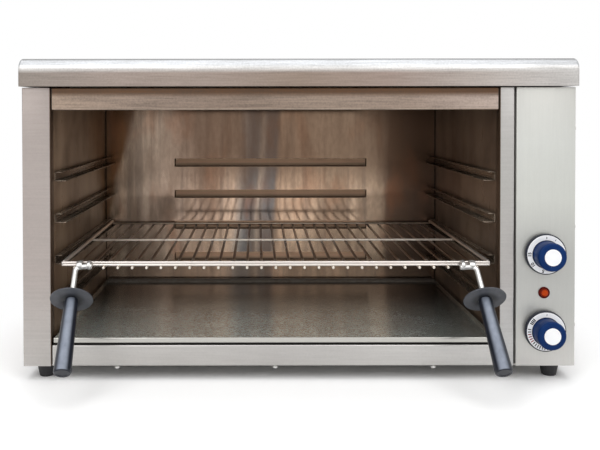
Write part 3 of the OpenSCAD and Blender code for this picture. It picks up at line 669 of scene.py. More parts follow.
@dataclass(frozen=True)
class PaintedSheenPlastic(Finish):
    """Satin plastic of a handle with a painted sheen, paler along the side of a grip that faces up, and on a
    guard outwards from painted shade near the axis.
    """

    matrix: Matrix
    tone: Rgb = (30, 33, 42)
    pale: Rgb = (148, 156, 171)
    span: Point2 = (0.72, 1.02)
    end: float = 0.0
    end_without_sheen: Point2 = (1.6, 0.6)

    def paint(self, graph: Graph) -> bpy.types.Material:
        """Paints a sheen along a grip, or, without an end, a sheen outwards from painted shade near the axis.

        Args:
            graph: The empty graph.

        Returns:
            The finished material.
        """
        inverse = self.matrix.inverted()
        values = {"Vector": graph.place(), "Location": inverse.translation, "Rotation": inverse.to_euler()}
        local = graph.add("ShaderNodeMapping", {}, values)
        x, y, z = (graph.add("ShaderNodeSeparateXYZ", {}, {0: local}, output=i) * (1 / MM) for i in range(3))
        if self.end:
            facing = y * ((x * x + y * y) ** -0.5)
            start, stop = (self.end - rest for rest in self.end_without_sheen)
            painted_sheen = facing.between(*self.span) * (1 - z.between(start, stop))
        else:
            painted_sheen = ((x * x + y * y) ** 0.5).between(*self.span)
        skin = graph.noise((600, 600, 600), 2, 1.9)
        wear = graph.noise((160, 160, 60), 4, 4.4)
        base = graph.mix(painted_sheen * (0.8 + (wear - 0.5) * 0.6), self.tone, self.pale)
        return graph.finish(base, 0.34 + (wear - 0.5) * 0.16, skin, 0.01, Specular_IOR_Level=0.3)


@dataclass(frozen=True)
class Wool(Finish):
    """Fibrous insulation blanket."""

    tone: Rgb = (226, 220, 204)
    shade: Rgb = (170, 158, 136)

    def paint(self, graph: Graph) -> bpy.types.Material:
        """Paints fibres and lumps.

        Args:
            graph: The empty graph.

        Returns:
            The finished material.
        """
        fibres = graph.noise((180, 520, 180), 5, 3.3)
        lumps = graph.noise((36, 36, 36), 3, 5.5)
        base = graph.mix((fibres * 0.6 + lumps * 0.4).between(0.3, 0.7), self.tone, self.shade)
        return graph.finish(base, 0.9 + (lumps - 0.5) * 0.1, fibres + lumps, 0.6)


@dataclass(frozen=True)
class LampGlass(Finish):
    """The tinted lens of the pilot lamp, which glows faintly."""

    tone: Rgb = (186, 66, 0)
    deep: Rgb = (150, 40, 2)
    rim: Rgb = (96, 14, 4)

    def paint(self, graph: Graph) -> bpy.types.Material:
        """Paints the flutes, darker towards the rim.

        Args:
            graph: The empty graph.

        Returns:
            The finished material.
        """
        flutes = graph.noise((500, 500, 500), 2, 2.6)
        base = graph.mix(flutes.between(0.35, 0.65) * 0.5, self.tone, self.deep)
        side, up = graph.place(Axis.X) - PLAN.control_x * MM, graph.place(Axis.Z) - PLAN.lamp * MM
        edge = (((side * side + up * up) ** 0.5) * (1 / MM)).between(2.6, 4.8)
        ringed = graph.mix(edge, base, self.rim)
        return graph.finish(ringed, 0.3 + flutes * 0.1, flutes, 0.05, Specular_IOR_Level=0.15,
                            Emission_Color=linear(self.tone), Emission_Strength=0.12)


# ---- Modelling ----


class Bench:
    """Models meshes with Blender's own operators, one piece at a time."""

    def clear(self) -> None:
        """Leaves edit mode and deselects everything."""
        if bpy.context.mode != "OBJECT":
            bpy.ops.object.mode_set(mode="OBJECT")
        bpy.ops.object.select_all(action="DESELECT")

    def _take(self, name: str) -> bpy.types.Object:
        """Names the object that was just added and brings its place into its mesh.

        Args:
            name: The new name.

        Returns:
            The object.
        """
        piece = bpy.context.active_object
        piece.name = piece.data.name = name
        bpy.ops.object.transform_apply(location=True, rotation=True, scale=True)
        return piece

    def only(self, piece: bpy.types.Object) -> None:
        """Selects one object and makes it the active one.

        Args:
            piece: The object.
        """
        self.clear()
        piece.select_set(True)
        bpy.context.view_layer.objects.active = piece

    @contextmanager
    def edit(self, piece: bpy.types.Object, everything: bool = False) -> Iterator[None]:
        """Opens a piece in edit mode, with nothing or everything selected.

        Args:
            piece: The piece to open.
            everything: Whether all of it starts selected.

        Yields:
            Nothing, while the piece is open.
        """
        self.only(piece)
        bpy.ops.object.mode_set(mode="EDIT")
        bpy.ops.mesh.select_mode(type="VERT")
        bpy.ops.mesh.select_all(action="SELECT" if everything else "DESELECT")
        yield
        bpy.ops.object.mode_set(mode="OBJECT")

    @staticmethod
    def pick_faces(piece: bpy.types.Object, test: Callable[[Vector, Vector], bool]) -> int:
        """Selects the faces whose centre and normal pass a test, and nothing else.

        Args:
            piece: The piece in edit mode.
            test: Takes a face's centre and normal.

        Returns:
            The number of faces.
        """
        bpy.ops.mesh.select_mode(type="FACE")
        mesh = bmesh.from_edit_mesh(piece.data)
        for face in mesh.faces:
            face.select_set(test(face.calc_center_median(), face.normal))
        mesh.select_flush_mode()
        bmesh.update_edit_mesh(piece.data)
        return sum(face.select for face in mesh.faces)

    @staticmethod
    def pick_edges(piece: bpy.types.Object, test: Callable[[Vector, Vector], bool]) -> int:
        """Selects the edges whose two ends pass a test, and nothing else.

        Args:
            piece: The piece in edit mode.
            test: Takes the two ends of an edge.

        Returns:
            The number of edges.
        """
        bpy.ops.mesh.select_mode(type="EDGE")
        mesh = bmesh.from_edit_mesh(piece.data)
        for edge in mesh.edges:
            edge.select_set(test(edge.verts[0].co, edge.verts[1].co))
        mesh.select_flush_mode()
        bmesh.update_edit_mesh(piece.data)
        return sum(edge.select for edge in mesh.edges)

    def modify(self, piece: bpy.types.Object, kind: str, **settings: Any) -> None:
        """Adds a modifier to a piece and applies it.

        Args:
            piece: The piece.
            kind: The modifier's type.
            settings: Its settings.
        """
        self.only(piece)
        modifier = piece.modifiers.new(kind.title(), kind)
        for key, value in settings.items():
            setattr(modifier, key, value)
        bpy.ops.object.modifier_apply(modifier=modifier.name)

    def ease(self, piece: bpy.types.Object, width: float, segments: int = 2, angle: float = 50.0) -> None:
        """Rounds the sharp edges of a piece by a width in millimetres."""
        self.modify(piece, "BEVEL", width=width * MM, segments=segments, limit_method="ANGLE",
                    angle_limit=math.radians(angle), use_clamp_overlap=True)

    def smooth(self, piece: bpy.types.Object, angle: float = 35.0) -> bpy.types.Object:
        """Shades a piece smooth.

        Args:
            piece: The piece.
            angle: The sharpest edge that is smoothed over, in degrees.

        Returns:
            The same piece.
        """
        self.only(piece)
        bpy.ops.object.shade_smooth_by_angle(angle=math.radians(angle))
        return piece

    def settle(self, piece: bpy.types.Object, matrix: Matrix) -> bpy.types.Object:
        """Carries a piece to its place and brings that into its mesh.

        Args:
            piece: The piece.
            matrix: Where it goes.

        Returns:
            The same piece.
        """
        self.only(piece)
        piece.matrix_world = matrix
        bpy.ops.object.transform_apply(location=True, rotation=True, scale=True)
        return piece

    def tidy(self, piece: bpy.types.Object) -> None:
        """Merges doubled points and turns the faces outwards.

        Args:
            piece: The piece.
        """
        with self.edit(piece, everything=True):
            bpy.ops.mesh.remove_doubles(threshold=0.002 * MM)
            bpy.ops.mesh.normals_make_consistent(inside=False)

    def join(self, name: str, pieces: Sequence[bpy.types.Object]) -> bpy.types.Object:
        """Joins pieces into the first of them.

        Args:
            name: The new name.
            pieces: What is joined.

        Returns:
            The joined piece.
        """
        self.only(pieces[0])
        for piece in pieces[1:]:
            piece.select_set(True)
        bpy.ops.object.join()
        pieces[0].name = pieces[0].data.name = name
        return pieces[0]

    def copy(self, piece: bpy.types.Object, matrix: Matrix) -> bpy.types.Object:
        """Copies a piece with a mesh of its own, and settles the copy elsewhere.

        Args:
            piece: The piece that is copied.
            matrix: The copy's move from it.

        Returns:
            The copy.
        """
        self.only(piece)
        bpy.ops.object.duplicate(linked=False)
        return self.settle(bpy.context.active_object, matrix)

    def repeat(self, name: str, first: bpy.types.Object, moves: Sequence[Point3]) -> bpy.types.Object:
        """Copies a piece to further places and joins all of them.

        Args:
            name: The joined piece's name.
            first: The piece at its own place.
            moves: The moves to the other places, in millimetres.

        Returns:
            The joined piece.
        """
        others = [self.copy(first, Matrix.Translation([part * MM for part in move])) for move in moves]
        return self.join(name, [first, *others])

    def block(self, name: str, low: Vector, high: Vector) -> bpy.types.Object:
        """Adds a block, as a start for shaping.

        Args:
            name: The block's name.
            low: Its low corner.
            high: Its high corner.

        Returns:
            The block.
        """
        self.clear()
        bpy.ops.mesh.primitive_cube_add(size=1, location=(low + high) / 2, scale=high - low)
        return self._take(name)

    def sheet(self, name: str, matrix: Matrix) -> bpy.types.Object:
        """Adds a flat sheet, as a start for shaping.

        Args:
            name: The sheet's name.
            matrix: What carries a square of one metre to its size and place.

        Returns:
            The sheet.
        """
        self.clear()
        bpy.ops.mesh.primitive_plane_add(size=1)
        return self.settle(self._take(name), matrix)

    def circle(self, name: str, radius: float, centre: Vector, sides: int, filled: bool) -> bpy.types.Object:
        """Adds a level circle, as a start for shaping.

        Args:
            name: The circle's name.
            radius: Its radius in millimetres.
            centre: Its centre.
            sides: Facets around it.
            filled: Whether it has a face.

        Returns:
            The circle.
        """
        self.clear()
        bpy.ops.mesh.primitive_circle_add(vertices=sides, radius=radius * MM, location=centre,
                                          fill_type="NGON" if filled else "NOTHING")
        return self._take(name)

    @staticmethod
    def extrude(move: Sequence[float]) -> None:
        """Extrudes what is selected, by a move in metres."""
        bpy.ops.mesh.extrude_region_move(TRANSFORM_OT_translate={"value": move})

    def rod(self, name: str, start: Vector, end: Vector, radius: float, nose: float = 0.5,
            sides: int = 20) -> bpy.types.Object:
        """Models a straight rod with eased ends.

        Args:
            name: The rod's name.
            start: One end.
            end: The other end.
            radius: Its radius in millimetres.
            nose: How far its ends are rounded, in millimetres.
            sides: Facets around it.

        Returns:
            The rod.
        """
        self.clear()
        way = end - start
        turn = way.to_track_quat("Z", "Y").to_euler()
        bpy.ops.mesh.primitive_cylinder_add(vertices=sides, radius=radius * MM, depth=way.length,
                                            location=(start + end) / 2, rotation=turn)
        piece = self._take(name)
        with self.edit(piece):
            axis = way.normalized()
            self.pick_faces(piece, lambda centre, normal: abs(normal.dot(axis)) > 0.99)
            bpy.ops.mesh.bevel(offset=nose * MM, segments=4, affect="EDGES")
        return self.smooth(piece, angle=40)

    def turned(self, name: str, outline: Sequence[Point2], sides: int = 64,
               ring: bool = False) -> bpy.types.Object:
        """Turns an outline round the Z axis, by extruding and resizing a circle.

        Args:
            name: The piece's name.
            outline: Its radius and height at each step, in millimetres.
            sides: Facets around it.
            ring: Whether the last step joins the first, as in a ring.

        Returns:
            The turned piece.
        """
        radius, height = outline[0]
        piece = self.circle(name, radius, Vector((0, 0, height * MM)), sides, filled=not ring)
        with self.edit(piece, everything=True):
            for step in [*outline[1:], *(outline[:1] if ring else [])]:
                self.extrude((0, 0, (step[1] - height) * MM))
                scale = step[0] / radius
                bpy.ops.transform.resize(value=(scale, scale, 1), center_override=(0, 0, step[1] * MM))
                radius, height = step
        self.tidy(piece)
        return self.smooth(piece)

    def folded(self, name: str, path: Sequence[Point2], along: Axis, span: Point2, radius: float = 1.4,
               thick: float = 1.0, rim: float = 0.25) -> bpy.types.Object:
        """Folds a strip of sheet metal, whose outer face follows a path and whose wall lies on its left.

        Args:
            name: The piece's name.
            path: The bends in millimetres, in the two directions other than the fold's own.
            along: The direction of the folds.
            span: Where the strip starts and ends along them.
            radius: Outer radius of a fold.
            thick: Thickness of the sheet.
            rim: How far the cut edges are eased.

        Returns:
            The folded piece.
        """
        others = [axis for axis in Axis if axis is not along]

        def spot(point: Point2, reach: float) -> Vector:
            """Gives the place of a bend at one end of the strip."""
            part = {others[0]: point[0], others[1]: point[1], along: reach}
            return at(part[Axis.X], part[Axis.Y], part[Axis.Z])

        first, second = spot(path[0], span[0]), spot(path[1], span[0])
        reach = spot(path[0], span[1]) - first
        step = second - first
        normal = step.cross(reach).normalized()
        matrix = Matrix((step, reach, normal)).transposed().to_4x4()
        matrix.translation = first + (step + reach) / 2
        piece = self.sheet(name, matrix)
        way = along.vector

        def on_line(spots: Sequence[Vector]) -> Callable[[Vector, Vector], bool]:
            """Makes a test for the edges along certain folds.

            Args:
                spots: A place on each fold.

            Returns:
                The test of an edge's two ends.
            """
            flat = [place - way * place.dot(way) for place in spots]

            def test(start: Vector, end: Vector) -> bool:
                """Tells whether both ends of an edge lie on one of the lines."""
                ends = [point - way * point.dot(way) for point in (start, end)]
                return any(all((point - place).length < NEAR for point in ends) for place in flat)

            return test

        with self.edit(piece):
            for previous, point in zip(path[1:], path[2:]):
                self.pick_edges(piece, on_line([spot(previous, span[0])]))
                self.extrude(spot(point, span[0]) - spot(previous, span[0]))
            bends = [spot(point, span[0]) for point in path[1:-1]]
            if bends and self.pick_edges(piece, on_line(bends)):
                bpy.ops.mesh.bevel(offset=radius * MM, segments=5, affect="EDGES")
            bpy.ops.mesh.select_all(action="SELECT")
            bpy.ops.mesh.normals_make_consistent(inside=False)
        self._face_away(piece, normal)
        self.modify(piece, "SOLIDIFY", thickness=thick * MM, offset=-1, use_even_offset=True)
        self.ease(piece, rim)
        return self.smooth(piece)

    def _face_away(self, piece: bpy.types.Object, normal: Vector) -> None:
        """Flips a sheet whose first strip faces the wrong way.

        Args:
            piece: The sheet.
            normal: The way that it should face.
        """
        if piece.data.polygons[0].normal.dot(normal) < 0:
            with self.edit(piece, everything=True):
                bpy.ops.mesh.flip_normals()

    def drill(self, piece: bpy.types.Object, start: Vector, end: Vector, radius: float) -> None:
        """Drills a round hole through a piece.

        Args:
            piece: The piece.
            start: Where the drill starts.
            end: Where it ends.
            radius: Its radius in millimetres.
        """
        cutter = self.rod("drill", start, end, radius, nose=0.05, sides=32)
        self.modify(piece, "BOOLEAN", object=cutter, operation="DIFFERENCE", solver="EXACT")
        bpy.data.objects.remove(cutter)


# ---- Sub-assemblies ----


@dataclass
class Assembly:
    """A sub-assembly that rides on one body."""

    bench: Bench
    body: str = "cabinet"

    def fit(self, piece: bpy.types.Object, material: bpy.types.Material, slot: str, *nodes: str) -> None:
        """Dresses a finished piece and hands it to the frame.

        Args:
            piece: The finished piece.
            material: Its finish.
            slot: The record's slot that the finish comes from. It is not used.
            nodes: The solids that the piece stands for.
        """
        piece.data.materials.clear()
        piece.data.materials.append(material)
        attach(piece, self.body)
        if nodes:
            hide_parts(*nodes)
        LOG.info("%s rides on %s, %d faces", piece.name, self.body, len(piece.data.polygons))

    def stand_in(self, piece: bpy.types.Object, material: bpy.types.Material, node: str) -> None:
        """Hands over a piece that stands for one solid."""
        self.fit(piece, material, node, node)

    @staticmethod
    def dress(material: bpy.types.Material, *nodes: str) -> None:
        """Gives solids of the frame a finish.

        Args:
            material: The finish.
            nodes: The solids.
        """
        for node in nodes:
            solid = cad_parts[node]
            if not solid.material_slots:
                solid.data.materials.append(material)
            for place in solid.material_slots:
                place.material = material
            LOG.info("%s keeps its solid", node)


@dataclass
class Cover(Assembly):
    """The top cover with its rounded front."""

    low: Point3 = (-343.75, -4.0, 363.0)
    high: Point3 = (343.75, 384.0, 397.5)
    round_front: float = 14.0
    round_end: float = 3.6
    margin: float = 0.2
    flange: float = 15.0

    def build(self) -> None:
        """Models the shell and dresses it."""
        piece = self.bench.block("top_cover_shell", at(*self.low), at(*self.high))
        with self.bench.edit(piece):
            self._round_edges(piece)
            self._open_below(piece)
        self.bench.modify(piece, "SOLIDIFY", thickness=PLAN.sheet * MM, offset=-1, use_even_offset=False)
        self.bench.smooth(piece, angle=30)
        # The tones across the front are heat tint and painted reflection.
        steel = Steel(((152, 142, 134), (168, 153, 144), (168, 152, 142), (157, 139, 126), (164, 146, 136),
                       (184, 174, 167), (212, 209, 206)), rough=0.36, speck=0.5, shifts=(
                           # Painted highlight over the rounded front edge, softer at its crown, and painted
                           # shade along its top.
                           (Axis.Z, (236, 234, 232), 378.4, 386.6), (Axis.Z, (188, 190, 193), 385.0, 390.5),
                           (Axis.Z, (128, 128, 128), 394.0, 397.0)))
        self.stand_in(piece, steel.material("cover_steel"), "top_cover")

    def _round_edges(self, piece: bpy.types.Object) -> None:
        """Rounds the upper front edge, then the edges of both ends apart from the lowest ones.

        Args:
            piece: The block in edit mode.
        """
        low, high = at(*self.low), at(*self.high)

        def flush(ends: Sequence[Vector], axis: Axis, corner: Vector) -> bool:
            """Tells whether both ends of an edge are level with a corner on an axis."""
            return all(abs(end[axis.value] - corner[axis.value]) < NEAR for end in ends)

        self.bench.pick_edges(piece, lambda *ends: flush(ends, Axis.Y, low) and flush(ends, Axis.Z, high))
        bpy.ops.mesh.bevel(offset=self.round_front * MM, segments=12, affect="EDGES")
        for end in (low, high):
            self.bench.pick_edges(
                piece, lambda *ends: flush(ends, Axis.X, end) and not flush(ends, Axis.Z, low))
            bpy.ops.mesh.bevel(offset=self.round_end * MM, segments=5, affect="EDGES")

    def _open_below(self, piece: bpy.types.Object) -> None:
        """Cuts the bottom out, apart from the flange around it.

        Args:
            piece: The rounded block in edit mode.
        """
        low, high = at(*self.low), at(*self.high)
        self.bench.pick_faces(piece, lambda centre, normal: normal.z < -0.9)
        bpy.ops.mesh.inset(thickness=(self.round_end - self.margin) * MM, depth=0)
        # A second inset of no width makes the edge that is drawn in to the flange's inner edge.
        bpy.ops.mesh.inset(thickness=0, depth=0)
        rest = 2 * (self.flange - self.round_end) * MM
        wide, deep = 1 - rest / (high.x - low.x), 1 - rest / (high.y - low.y)
        centre = ((low.x + high.x) / 2, (low.y + high.y) / 2, low.z)
        bpy.ops.transform.resize(value=(wide, deep, 1), center_override=centre)
        bpy.ops.mesh.delete(type="FACE")


@dataclass
class Casing(Assembly):
    """The folded panels around the cooking space and the control bay."""

    flange: float = 20.0
    flange_gap: float = 0.5
    flange_end: float = 1.5
    ledge: float = 20.0
    gap: float = 1.1
    # A dark tone painted on each front post's return face beside the opening.
    darkening: Rgb = (84, 66, 52)
    # The painted shade in the joint beside each front post.
    joint_shade: Rgb = (34, 24, 16)
    shaft_hole: float = 5.5
    lamp_hole: float = 6.15
    drill: Point2 = (-3.0, 4.0)

    @property
    def between_posts(self) -> Point2:
        """The ends of the sheets that fill the width between the posts."""
        return PLAN.open_left + self.gap, PLAN.open_right - self.gap

    def build(self) -> None:
        """Models the panels, posts, lintel and rail, and dresses the plain walls."""
        self._left_panel()
        self._right_post()
        self._lintel()
        self._rail()
        self._control_panel()
        plain = Steel(((188, 186, 183), (200, 198, 195)), drift=Axis.Z, span=PLAN.height)
        self.dress(plain.material("side_steel"), "right_side_panel", "back_panel", "base_plate")

    def _left_panel(self) -> None:
        """Models the left wall, folded into the left front post, with its flanges."""
        edge, back = -PLAN.side + self.flange, PLAN.depth - PLAN.sheet
        # The tones darken towards the top as painted shade; the shift paints the return face beside the
        # opening dark.
        steel = Steel(((194, 190, 186), (185, 175, 170), (178, 168, 163), (154, 144, 139)),
                      drift=Axis.Z, span=PLAN.height,
                      shifts=((Axis.X, self.darkening, PLAN.open_left - 1.5, PLAN.open_left - 0.6),))
        piece = self.bench.folded("left_panel_sheet", [
            (edge, back), (-PLAN.side, back), (-PLAN.side, 0), (PLAN.open_left, 0),
            (PLAN.open_left, PLAN.fold)], Axis.Z, PLAN.height)
        start, ends = -PLAN.side + self.flange_gap, (self.flange_end, back - self.flange_end)
        flanges = [self.bench.folded("left_flange", [(start, level), (edge, level)], Axis.Y, ends)
                   for level in (PLAN.base + PLAN.sheet, PLAN.top)]
        panel = self.bench.join("left_panel_sheet", [piece, *flanges])
        self.stand_in(panel, steel.material("left_panel_steel"), "left_side_panel")

    def _right_post(self) -> None:
        """Models the right front post, folded into the wall beside the control bay."""
        # The tones darken towards the top as painted shade; the shift paints the return face beside the
        # opening dark.
        steel = Steel(((198, 198, 197), (184, 180, 177), (182, 180, 176), (176, 173, 170)),
                      drift=Axis.Z, span=PLAN.height,
                      shifts=((Axis.X, self.darkening, PLAN.open_right + 1.5, PLAN.open_right + 0.6),))
        piece = self.bench.folded("right_post_sheet", [
            (PLAN.open_right, PLAN.fold), (PLAN.open_right, 0), (PLAN.post_right, 0),
            (PLAN.post_right, PLAN.depth - PLAN.sheet)], Axis.Z, PLAN.height)
        self.stand_in(piece, steel.material("post_steel"), "bay_divider")

    def _lintel(self) -> None:
        """Models the lintel above the opening."""
        piece = self.bench.folded("lintel_sheet", [
            (PLAN.fold, PLAN.top), (0, PLAN.top), (0, PLAN.lintel), (PLAN.fold, PLAN.lintel)],
            Axis.X, self.between_posts, radius=2.2)
        # Heat tint across it, with painted shadow of the cover along its top and a painted highlight on its
        # lower fold.
        tint = Steel(((182, 160, 142), (158, 139, 125), (147, 128, 114), (160, 141, 126), (162, 143, 129),
                      (190, 172, 161)), span=PLAN.opening, speck=0.7,
                     shifts=((Axis.Z, (96, 68, 46), 348.0, 356.5), (Axis.Z, (190, 170, 154), 336.6, 334.6),
                             # Painted shade in the joint beside each post.
                             (Axis.X, self.joint_shade, PLAN.open_left + 2.6, PLAN.open_left + 1.6),
                             (Axis.X, self.joint_shade, PLAN.open_right - 2.6, PLAN.open_right - 1.6)))
        self.stand_in(piece, tint.material("lintel_steel"), "front_lintel")

    def _rail(self) -> None:
        """Models the bottom rail with its ledge."""
        piece = self.bench.folded("bottom_rail_sheet", [
            (self.ledge, PLAN.open_low), (0, PLAN.open_low), (0, PLAN.base), (PLAN.fold, PLAN.base)],
            Axis.X, self.between_posts, radius=2.0)
        # The shifts paint shade on the ledge under the tray's lip: dark at its front, grey behind.
        steel = Steel(((197, 194, 190), (186, 183, 180), (203, 201, 198)), span=PLAN.opening,
                      shifts=((Axis.Y, (26, 22, 18), 0.7, 1.8), (Axis.Y, (150, 146, 140), 3.4, 5.0)))
        self.stand_in(piece, steel.material("rail_steel"), "bottom_rail")

    def _control_panel(self) -> None:
        """Models the control panel with the holes for its shafts and its lamp."""
        piece = self.bench.folded("control_panel_sheet", [
            (PLAN.panel_left, PLAN.fold), (PLAN.panel_left, 0), (PLAN.side, 0)], Axis.Z, PLAN.height)
        holes = ((PLAN.timer, self.shaft_hole), (PLAN.lamp, self.lamp_hole),
                 (PLAN.thermostat, self.shaft_hole))
        for z, radius in holes:
            start, end = (at(PLAN.control_x, y, z) for y in self.drill)
            self.bench.drill(piece, start, end, radius)
        self.bench.smooth(piece)
        # The tones are darker at the heights of the knobs and at the top, as painted shade.
        steel = Steel(((206, 204, 200), (192, 192, 188), (188, 188, 184), (205, 206, 200), (203, 204, 199),
                       (190, 189, 184)), drift=Axis.Z, span=PLAN.height, grain=Axis.Z, speck=0.06)
        self.stand_in(piece, steel.material("control_panel_steel"), "control_panel")


@dataclass
class Liner(Assembly):
    """The heat-tinted walls of the cooking space and their runners."""

    ridge_height: float = 13.0
    ridge_proud: float = 4.5
    ridge_inset: float = 1.6
    ridge_slope: float = 8.0
    ridge_brow: float = 3.0
    ridge_ease: float = 0.9
    runner_tops: Tuple[float, ...] = (99.5, 151.8, 204.1, 256.4)
    runner_height: float = 11.6
    runner_upper: float = 9.0
    runner_lower: float = 15.0
    runner_span: Point2 = (20.0, 343.0)

    def build(self) -> None:
        """Models the back wall and the runners, and dresses the other walls."""
        self._back_wall()
        self._runners()
        dark = ((0.3, (100, 80, 64)), (0.5, (132, 108, 86)), (0.7, (168, 146, 122)))
        shade = ((0.3, (84, 70, 60)), (0.5, (110, 92, 78)), (0.7, (146, 126, 108)))
        grey = ((0.3, (92, 84, 76)), (0.6, (120, 112, 104)))
        for tints, node, name in ((dark, "left_liner", "left_wall_steel"),
                                  (shade, "right_liner", "right_wall_steel")):
            self.dress(HeatedSteel(tints, Axis.Z, rough=0.34, metallic=0.4).material(name), node)
        for tints, node, name in ((dark, "ceiling_reflector", "ceiling_steel"),
                                  (grey, "liner_floor", "liner_floor_steel")):
            self.dress(HeatedSteel(tints, Axis.Y).material(name), node)

    def _back_wall(self) -> None:
        """Models the back wall as a sheet with pressed ridges."""
        low = at(PLAN.liner_left, PLAN.cavity, PLAN.floor)
        high = at(PLAN.liner_right, PLAN.cavity, PLAN.ceiling)
        place = Matrix.Translation((low + high) / 2) @ Axis.X.turn(90)
        size = Matrix.Diagonal((high.x - low.x, high.z - low.z, 1, 1))
        piece = self.bench.sheet("back_wall_sheet", place @ size)
        cuts = [(Axis.X, PLAN.middle - PLAN.ridge_half), (Axis.X, PLAN.middle + PLAN.ridge_half)]
        for top in PLAN.ridge_tops:
            cuts += [(Axis.Z, top), (Axis.Z, top - self.ridge_height)]
        for axis, spot in cuts:
            with self.bench.edit(piece, everything=True):
                bpy.ops.mesh.bisect(plane_co=axis.vector * spot * MM, plane_no=axis.vector)
        for top in PLAN.ridge_tops:
            self._press_ridge(piece, top)
        self.bench.ease(piece, self.ridge_ease, segments=3, angle=25)
        self.bench.modify(piece, "SOLIDIFY", thickness=PLAN.sheet * MM, offset=-1, use_even_offset=True)
        self.bench.smooth(piece, angle=50)
        self.stand_in(piece, BackWallSteel().material("back_wall_steel"), "back_liner")

    def _press_ridge(self, piece: bpy.types.Object, top: float) -> None:
        """Presses one ridge out of the wall, and slopes its upper side.

        Args:
            piece: The wall's sheet, cut along the edges of the ridge.
            top: The height of the ridge's upper edge.
        """
        left, right = ((PLAN.middle + side * PLAN.ridge_half) * MM for side in (-1, 1))
        low, brow, high = (level * MM for level in (top - self.ridge_height, top - self.ridge_brow, top))
        halfway = at(0, PLAN.cavity - self.ridge_proud / 2, 0).y
        with self.bench.edit(piece):
            self.bench.pick_faces(
                piece, lambda centre, normal: left < centre.x < right and low < centre.z < high)
            bpy.ops.mesh.inset(thickness=self.ridge_inset * MM, depth=0)
            bpy.ops.transform.translate(value=(0, -self.ridge_proud * MM, 0))
            self.bench.pick_edges(piece, lambda *ends: all(
                left < end.x < right and end.y < halfway and brow < end.z < high for end in ends))
            bpy.ops.transform.translate(value=(0, 0, -self.ridge_slope * MM))

    def _runners(self) -> None:
        """Models one channel a side and copies it to the other levels."""
        tints = ((0.3, (88, 76, 66)), (0.5, (124, 110, 96)), (0.7, (168, 154, 138)))
        steel = HeatedSteel(tints, Axis.Y, rough=0.28, metallic=0.6).material("runner_steel")
        top = self.runner_tops[0]
        high, low = top - PLAN.sheet, top - self.runner_height + PLAN.sheet
        for side, wall, node in ((1, PLAN.liner_left, "left_runners"),
                                 (-1, PLAN.liner_right, "right_runners")):
            web = wall + side * PLAN.sheet
            path = [(wall + side * self.runner_upper, high), (web, high), (web, low),
                    (wall + side * self.runner_lower, low)]
            first = self.bench.folded(f"{node}_channel", path if side > 0 else path[::-1], Axis.Y,
                                      self.runner_span, radius=0.8)
            moves = [(0, 0, level - top) for level in self.runner_tops[1:]]
            self.stand_in(self.bench.repeat(f"{node}_channels", first, moves), steel, node)


@dataclass
class Tray(Assembly):
    """The crumb tray with its folded rim."""

    body: str = "crumb_tray_body"
    low: Point3 = (-303.0, 1.0, 45.3)
    high: Point3 = (245.0, 339.0, 52.9)
    hem: float = 2.4
    corner: float = 1.1
    sheet: float = 0.8

    def build(self) -> None:
        """Models the pan and dresses it."""
        piece = self.bench.block("crumb_tray_pan", at(*self.low), at(*self.high))
        with self.bench.edit(piece):
            self.bench.pick_faces(piece, lambda centre, normal: normal.z > 0.9)
            bpy.ops.mesh.inset(thickness=self.hem * MM, depth=0)
            bpy.ops.mesh.delete(type="FACE")
        self.bench.ease(piece, self.corner, segments=4, angle=60)
        self.bench.modify(piece, "SOLIDIFY", thickness=self.sheet * MM, offset=-1, use_even_offset=True)
        self.bench.smooth(piece, angle=40)
        self.stand_in(piece, TraySteel().material("crumb_tray_steel"), "crumb_tray")


